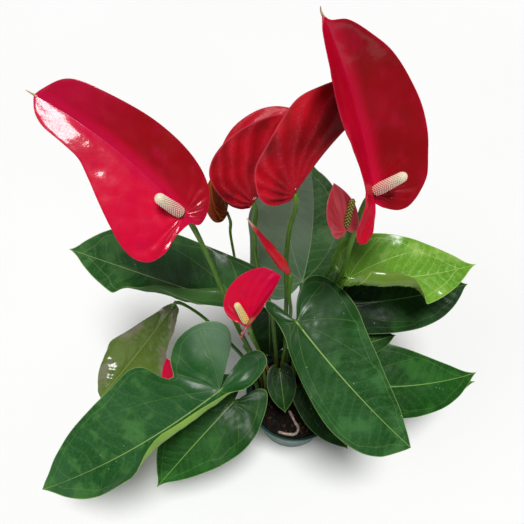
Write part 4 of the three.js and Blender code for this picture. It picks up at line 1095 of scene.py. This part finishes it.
def leaf(shape):
    """A leaf blade, and the petiole that bends into it from below."""
    name = shape["name"]
    blade = Blade(dict(LEAF_FORM, **shape))
    blade_piece(name, blade, *LEAF_GRID[blade.shape["size"]])
    point, _, out, _ = blade.midrib(np.array([PETIOLE_REACH]))
    neck = blade.joint - NECK_DROP * blade.up - NECK_BACK * blade.ahead
    route = stem_route(shape["stem"], [neck, point[0] - PETIOLE_DEPTH * out[0]], PETIOLE_STEPS)
    stem_piece("petiole_" + name, route, PETIOLE_RADII, "petiole_green", "stalk", name, 0.35)


def spadix_piece(name, foot, shape):
    """A blunt finger covered in florets, which stand in two crossing sets of spirals."""
    end = np.array(shape["end"], float)
    radius, size = shape["radius"], shape["florets"]
    around = 2 * round(math.pi * radius / size)
    rows = float(np.linalg.norm(end - foot)) / size
    t = np.linspace(0, 1, int(rows * FLORET_RINGS) + 1)
    narrow = np.sqrt(np.clip(t / 0.06, 0.12, 1))
    blunt = np.sqrt(np.clip(1 - np.clip((t - 0.86) / 0.14, 0, 1) ** 2, 0.02, 1))
    rise = SPADIX_FOOT + (1 - SPADIX_FOOT) * smooth(t / 0.3)
    radii = radius * rise * (1 - SPADIX_TAPER * t) * blunt * narrow

    def florets(t, angle):
        rise = TURN * rows * t / 2
        return np.abs(np.cos(around / 2 * angle + rise) * np.cos(around / 2 * angle - rise)) ** 0.5

    def bumps(t, angle):
        return FLORET_HOLLOW + FLORET_RELIEF * florets(t, angle)

    points, faces, place = tube(foot + (end - foot) * t[:, None], radii, SPADIX_SIDES, bumps)
    angle = np.arange(SPADIX_SIDES) * TURN / SPADIX_SIDES
    fields = {"along": place, "floret": np.concatenate([florets(value, angle) for value in t])}
    make_piece(name, points, faces, shape["look"], shape["slot"], [name], fields)


def flower(shape):
    """A stalk, the spathe on it and the spadix that rises from the joint of the two."""
    name = shape["name"]
    shape = dict(SPATHE_FORM, **shape)
    blade = Blade(shape)
    blade_piece("spathe_" + name, blade, *SPATHE_GRID[shape["size"]])
    line = unit(np.array(shape["spadix"]["end"], float) - blade.joint)
    rise = unit(blade.joint - shape["stem"]["via"][-1])
    heel = unit(shape["lean"] * line + rise)
    ending = [blade.joint - NECK_LENGTH * heel, blade.joint - STALK_GAP * heel]
    route = stem_route(shape["stem"], ending, STALK_STEPS)
    stalk = "stalk_" + name
    stem_piece(stalk, route, shape["stem"]["radius"], "stem_green", "stalk", stalk, 0.2)
    spadix = dict(SPADIX_FORM, **shape["spadix"])
    spadix_piece("spadix_" + name, blade.joint + SPADIX_RISE * line, spadix)
    if shape["size"] == "large":
        drip_tip(blade, name, shape["slot"])


def drip_tip(blade, name, slot):
    """The thread that a spathe's tip ends in."""
    point, tangent, out, _ = blade.midrib(np.array([1.0]))
    tip, ahead = point[0], tangent[0]
    route = spaced_curve([tip - 3 * ahead, tip + 2 * ahead, tip + 6 * ahead + 2 * out[0]], TIP_STEPS)
    points, faces, _ = tube(route, np.linspace(*TIP_RADII, TIP_STEPS + 1), TIP_SIDES)
    make_piece("tip_" + name, points, faces, "thread_tan", slot, ["spathe_" + name])


def bud():
    """A spathe still rolled into a cone, with the lip of its outer turn winding up it."""
    base, tip = np.array(BUD["base"], float), np.array(BUD["tip"], float)
    t = np.linspace(0, 1, BUD_STEPS + 1)
    route = base + (tip - base) * t[:, None] + np.array(BUD["sag"]) * (4 * t * (1 - t))[:, None]

    def lip(t, angle):
        turn = (angle / TURN + BUD_TURNS * t) % 1
        return 1.0 + BUD_LIP * (turn - 0.5) * (1 - t)

    points, faces, place = tube(route, along(BUD["widths"], t), BUD_SIDES, lip)
    make_piece("bud", points, faces, "bud_red", "spathe", ["bud"], {"along": place**3})
    start = unit(route[6] - base)
    stalk = stem_route(BUD["stem"], [base - BUD_NECK * start, base - 0.2 * start], STALK_STEPS)
    stem_piece("stalk_bud", stalk, BUD["stem"]["radius"], "stem_green", "stalk", "stalk_bud", 0.2)


def spike(name, shape, look, slot):
    """A stem that carries nothing and ends at its own tip."""
    route = stem_route(shape, [shape["tip"]], SPIKE_STEPS)
    stem_piece(name, route, shape["radius"], look, slot, name)


def root():
    """An aerial root that leaves the soil, hangs over the rim and turns back."""
    route = spaced_curve(ROOT_ROUTE, ROOT_STEPS)

    def knobs(t, angle):
        return 1 + 0.07 * np.sin(31 * t + 2 * angle) + 0.04 * np.sin(83 * t)

    points, faces, _ = tube(route, [ROOT_RADIUS] * len(route), ROOT_SIDES, knobs)
    make_piece("aerial_root", points, faces, "root_tan", "root", ["aerial_root"])


def sheaths():
    """Dry papery sheaths left round the feet of older stems."""
    chance = random.Random(SEED)
    parts = []

    def flat(t, angle):
        return 0.45 + 0.55 * np.abs(np.cos(angle)) + 0.06 * np.sin(7 * angle + 5 * t)

    for x, y, height, lean in SHEATHS:
        foot = np.array([x, y, SOIL_TOP - 2], float)
        bend = np.array([lean, chance.uniform(-4, 4), 0])
        knee, tip = foot + bend * 0.3 + [0, 0, height * 0.5], foot + bend + [0, 0, height]
        route = spaced_curve([foot, knee, tip], SHEATH_STEPS)
        places = [i / SHEATH_STEPS for i in range(SHEATH_STEPS + 1)]
        radii = [SHEATH_RADIUS * (1 - t**1.6) + SHEATH_TIP for t in places]
        parts.append(tube(route, radii, SHEATH_SIDES, flat)[:2])
    make_piece("dry_sheaths", *joined(parts), "sheath_brown", "shoot")


# ---------- pot and soil ----------


def lathe(profile, sides):
    """A closed body turned about the pot's axis. The profile starts and ends on the axis."""
    inner = profile[1:-1]
    angle = np.arange(sides) * TURN / sides
    points = [np.stack([r * np.cos(angle), r * np.sin(angle), np.full(sides, z)], 1) for r, z in inner]
    points = np.vstack(points + [[[0, 0, profile[0][1]], [0, 0, profile[-1][1]]]])
    bottom, top = len(points) - 2, len(points) - 1
    last = (len(inner) - 1) * sides
    faces = []
    for k in range(sides):
        n = (k + 1) % sides
        faces.append((bottom, n, k))
        faces.append((top, last + k, last + n))
        for i in range(len(inner) - 1):
            a = i * sides
            faces.append((a + k, a + n, a + sides + n, a + sides + k))
    return points, faces


def pot():
    """The moulded pot: a foot ring round a recessed floor, a plain wall and a stepped rim band."""
    band = POT_HEIGHT - RIM_BAND
    foot = BASE_RADIUS - BASE_ROUND
    neck = RIM_RADIUS - 2 * RIM_STEP
    lip = [
        (RIM_RADIUS + LIP_RADIUS * (math.cos(a) - 1), POT_HEIGHT + LIP_RADIUS * (math.sin(a) - 1))
        for a in np.linspace(0, math.pi, 7)
    ]
    outside = [
        (0, 0), (REST_PAD_RADIUS - 1, 0), (REST_PAD_RADIUS, BASE_RECESS),
        (foot - FOOT_RING_WIDTH, BASE_RECESS), (foot - FOOT_RING_WIDTH + 1, 0), (foot, 0),
        (BASE_RADIUS - 0.3, 0.35), (BASE_RADIUS, BASE_ROUND), (neck - 0.3, band - 1.2), (neck, band),
        (neck + RIM_STEP - 0.4, band + 0.3), (neck + RIM_STEP, band + 0.9),
    ]
    inside = [
        (INNER_TOP + 2, band + 1.5), (INNER_TOP, band - 0.4),
        (INNER_BASE, BASE_RECESS + POT_FLOOR), (0, BASE_RECESS + POT_FLOOR),
    ]
    points, faces = lathe([*outside, *lip, *inside], POT_SIDES)
    piece = make_piece("pot_body", points, faces, "pot_plastic", "pot_plastic", ["pot"])
    for i in range(DRAIN_HOLES):
        angle = TURN * (i + 0.5) / DRAIN_HOLES
        drill(piece, DRAIN_CIRCLE * math.cos(angle), DRAIN_CIRCLE * math.sin(angle))
    sharpen(piece)


def drill(piece, x, y):
    """Cuts one round drain hole through the pot's floor."""
    cutter = bmesh.new()
    radius = DRAIN_RADIUS * MM
    bmesh.ops.create_cone(cutter, cap_ends=True, segments=24, radius1=radius, radius2=radius, depth=20 * MM)
    bmesh.ops.translate(cutter, verts=cutter.verts, vec=(x * MM, y * MM, 0))
    mesh = bpy.data.meshes.new("drill")
    cutter.to_mesh(mesh)
    cutter.free()
    tool = placed("drill", mesh)
    cut = piece.modifiers.new("drain", "BOOLEAN")
    cut.operation, cut.object, cut.solver = "DIFFERENCE", tool, "EXACT"
    shaped = bpy.data.meshes.new_from_object(piece.evaluated_get(bpy.context.evaluated_depsgraph_get()))
    piece.modifiers.clear()
    piece.data = shaped
    bpy.data.objects.remove(tool)


def sharpen(piece):
    """Smooth shading with sharp creases."""
    mesh = piece.data
    shape = bmesh.new()
    shape.from_mesh(mesh)
    for edge in shape.edges:
        if len(edge.link_faces) == 2:
            edge.smooth = edge.calc_face_angle(0) < math.radians(CREASE_ANGLE)
    shape.to_mesh(mesh)
    shape.free()


def soil():
    """Moist peat: a lumpy surface in the pot, with bark crumbs lying on it."""
    floor = BASE_RECESS + POT_FLOOR
    bottom = floor + SOIL_GAP / 2
    slope = (INNER_TOP - INNER_BASE) / (POT_HEIGHT - RIM_BAND - floor)
    edge = INNER_BASE + slope * (SOIL_TOP - bottom) - SOIL_GAP
    profile = [(0, bottom), (INNER_BASE - SOIL_GAP, bottom)]
    profile += [(edge * (SOIL_RINGS - i) / SOIL_RINGS, SOIL_TOP) for i in range(SOIL_RINGS)]
    points, faces = lathe([*profile, (0, SOIL_TOP)], SOIL_SIDES)
    for p in points:
        if p[2] > SOIL_TOP / 2:
            lumps = 2.2 * noise.noise((p[0] / 9, p[1] / 9, 3))
            lumps += 1.2 * noise.noise((p[0] / 3.2, p[1] / 3.2, 8))
            p[2] += lumps * smooth((edge - math.hypot(p[0], p[1])) / 2 + 0.4)
    make_piece("soil_bed", points, faces, "soil_peat", "soil", ["soil"])
    crumbs("bark_crumbs", BARK_CRUMBS, BARK_SIZES, "bark_brown", edge)
    crumbs("peat_crumbs", PEAT_CRUMBS, PEAT_SIZES, "soil_peat", edge)


def crumbs(name, count, sizes, look, edge):
    """Rough flattened lumps strewn over the soil."""
    chance = random.Random(SEED + count)
    lump = bmesh.new()
    bmesh.ops.create_icosphere(lump, subdivisions=2, radius=1)
    ball = np.array([v.co[:] for v in lump.verts])
    ball_faces = [tuple(v.index for v in f.verts) for f in lump.faces]
    lump.free()
    parts = []
    for i in range(count):
        reach = (edge - 3) * math.sqrt(chance.random())
        turn = chance.uniform(0, TURN)
        size = chance.uniform(*sizes)
        stretch = np.array([1, chance.uniform(0.4, 0.9), chance.uniform(0.3, 0.6)]) * size / 2
        rough = np.array([1 + 0.35 * noise.noise((p[0] * 1.4 + i, p[1] * 1.4, p[2] * 1.4)) for p in ball])
        spin = chance.uniform(0, math.pi)
        c, s = math.cos(spin), math.sin(spin)
        body = (ball * rough[:, None] * stretch) @ np.array([[c, s, 0], [-s, c, 0], [0, 0, 1]])
        spot = [reach * math.cos(turn), reach * math.sin(turn), SOIL_TOP + 0.6]
        parts.append((body + spot, ball_faces))
    make_piece(name, *joined(parts), look, "soil", ["soil"])


# ---------- stage ----------


def camera():
    """Looks down at the plant from the front, as the photograph does."""
    data = bpy.data.cameras.new("camera")
    data.lens = LENS
    data.sensor_width = SENSOR_WIDTH
    eye = placed("camera", data)
    eye.location = Vector(EYE) * MM
    eye.rotation_euler = (math.radians(EYE_TILT), 0, 0)
    bpy.context.scene.camera = eye


def window(name, light):
    """Soft light from one direction, as from a wide window or a cloth-covered lamp."""
    data = bpy.data.lights.new(name, "SUN")
    data.energy = light["strength"]
    data.angle = math.radians(light["spread"])
    lamp = placed(name, data)
    lamp.rotation_mode = "QUATERNION"
    lamp.rotation_quaternion = Vector(light["direction"]).to_track_quat("Z", "Y")


def stage():
    """A pale floor, an even sky and the two lights."""
    size = FLOOR_REACH * MM
    mesh = bpy.data.meshes.new("floor")
    corners = [(-size, -size, 0), (size, -size, 0), (size, size, 0), (-size, size, 0)]
    mesh.from_pydata(corners, [], [(0, 1, 2, 3)])
    mesh.materials.append(LOOKS["floor_paper"])
    placed("floor", mesh)
    world = bpy.data.worlds.new("studio")
    world.use_nodes = True
    sky = world.node_tree.nodes["Background"]
    sky.inputs["Color"].default_value = (1, 1, 1, 1)
    sky.inputs["Strength"].default_value = SKY_STRENGTH
    bpy.context.scene.world = world
    window("key", KEY_LIGHT)
    window("fill", FILL_LIGHT)
    bpy.context.scene.view_settings.view_transform = "Standard"


camera()
pot()
soil()
for shape in LEAVES:
    leaf(shape)
for shape in FLOWERS:
    flower(shape)
bud()
spike("new_shoot", SHOOT, "shoot_sheath", "shoot")
spike("petiole_stub", STUB, "petiole_green", "stalk")
root()
sheaths()
stage()
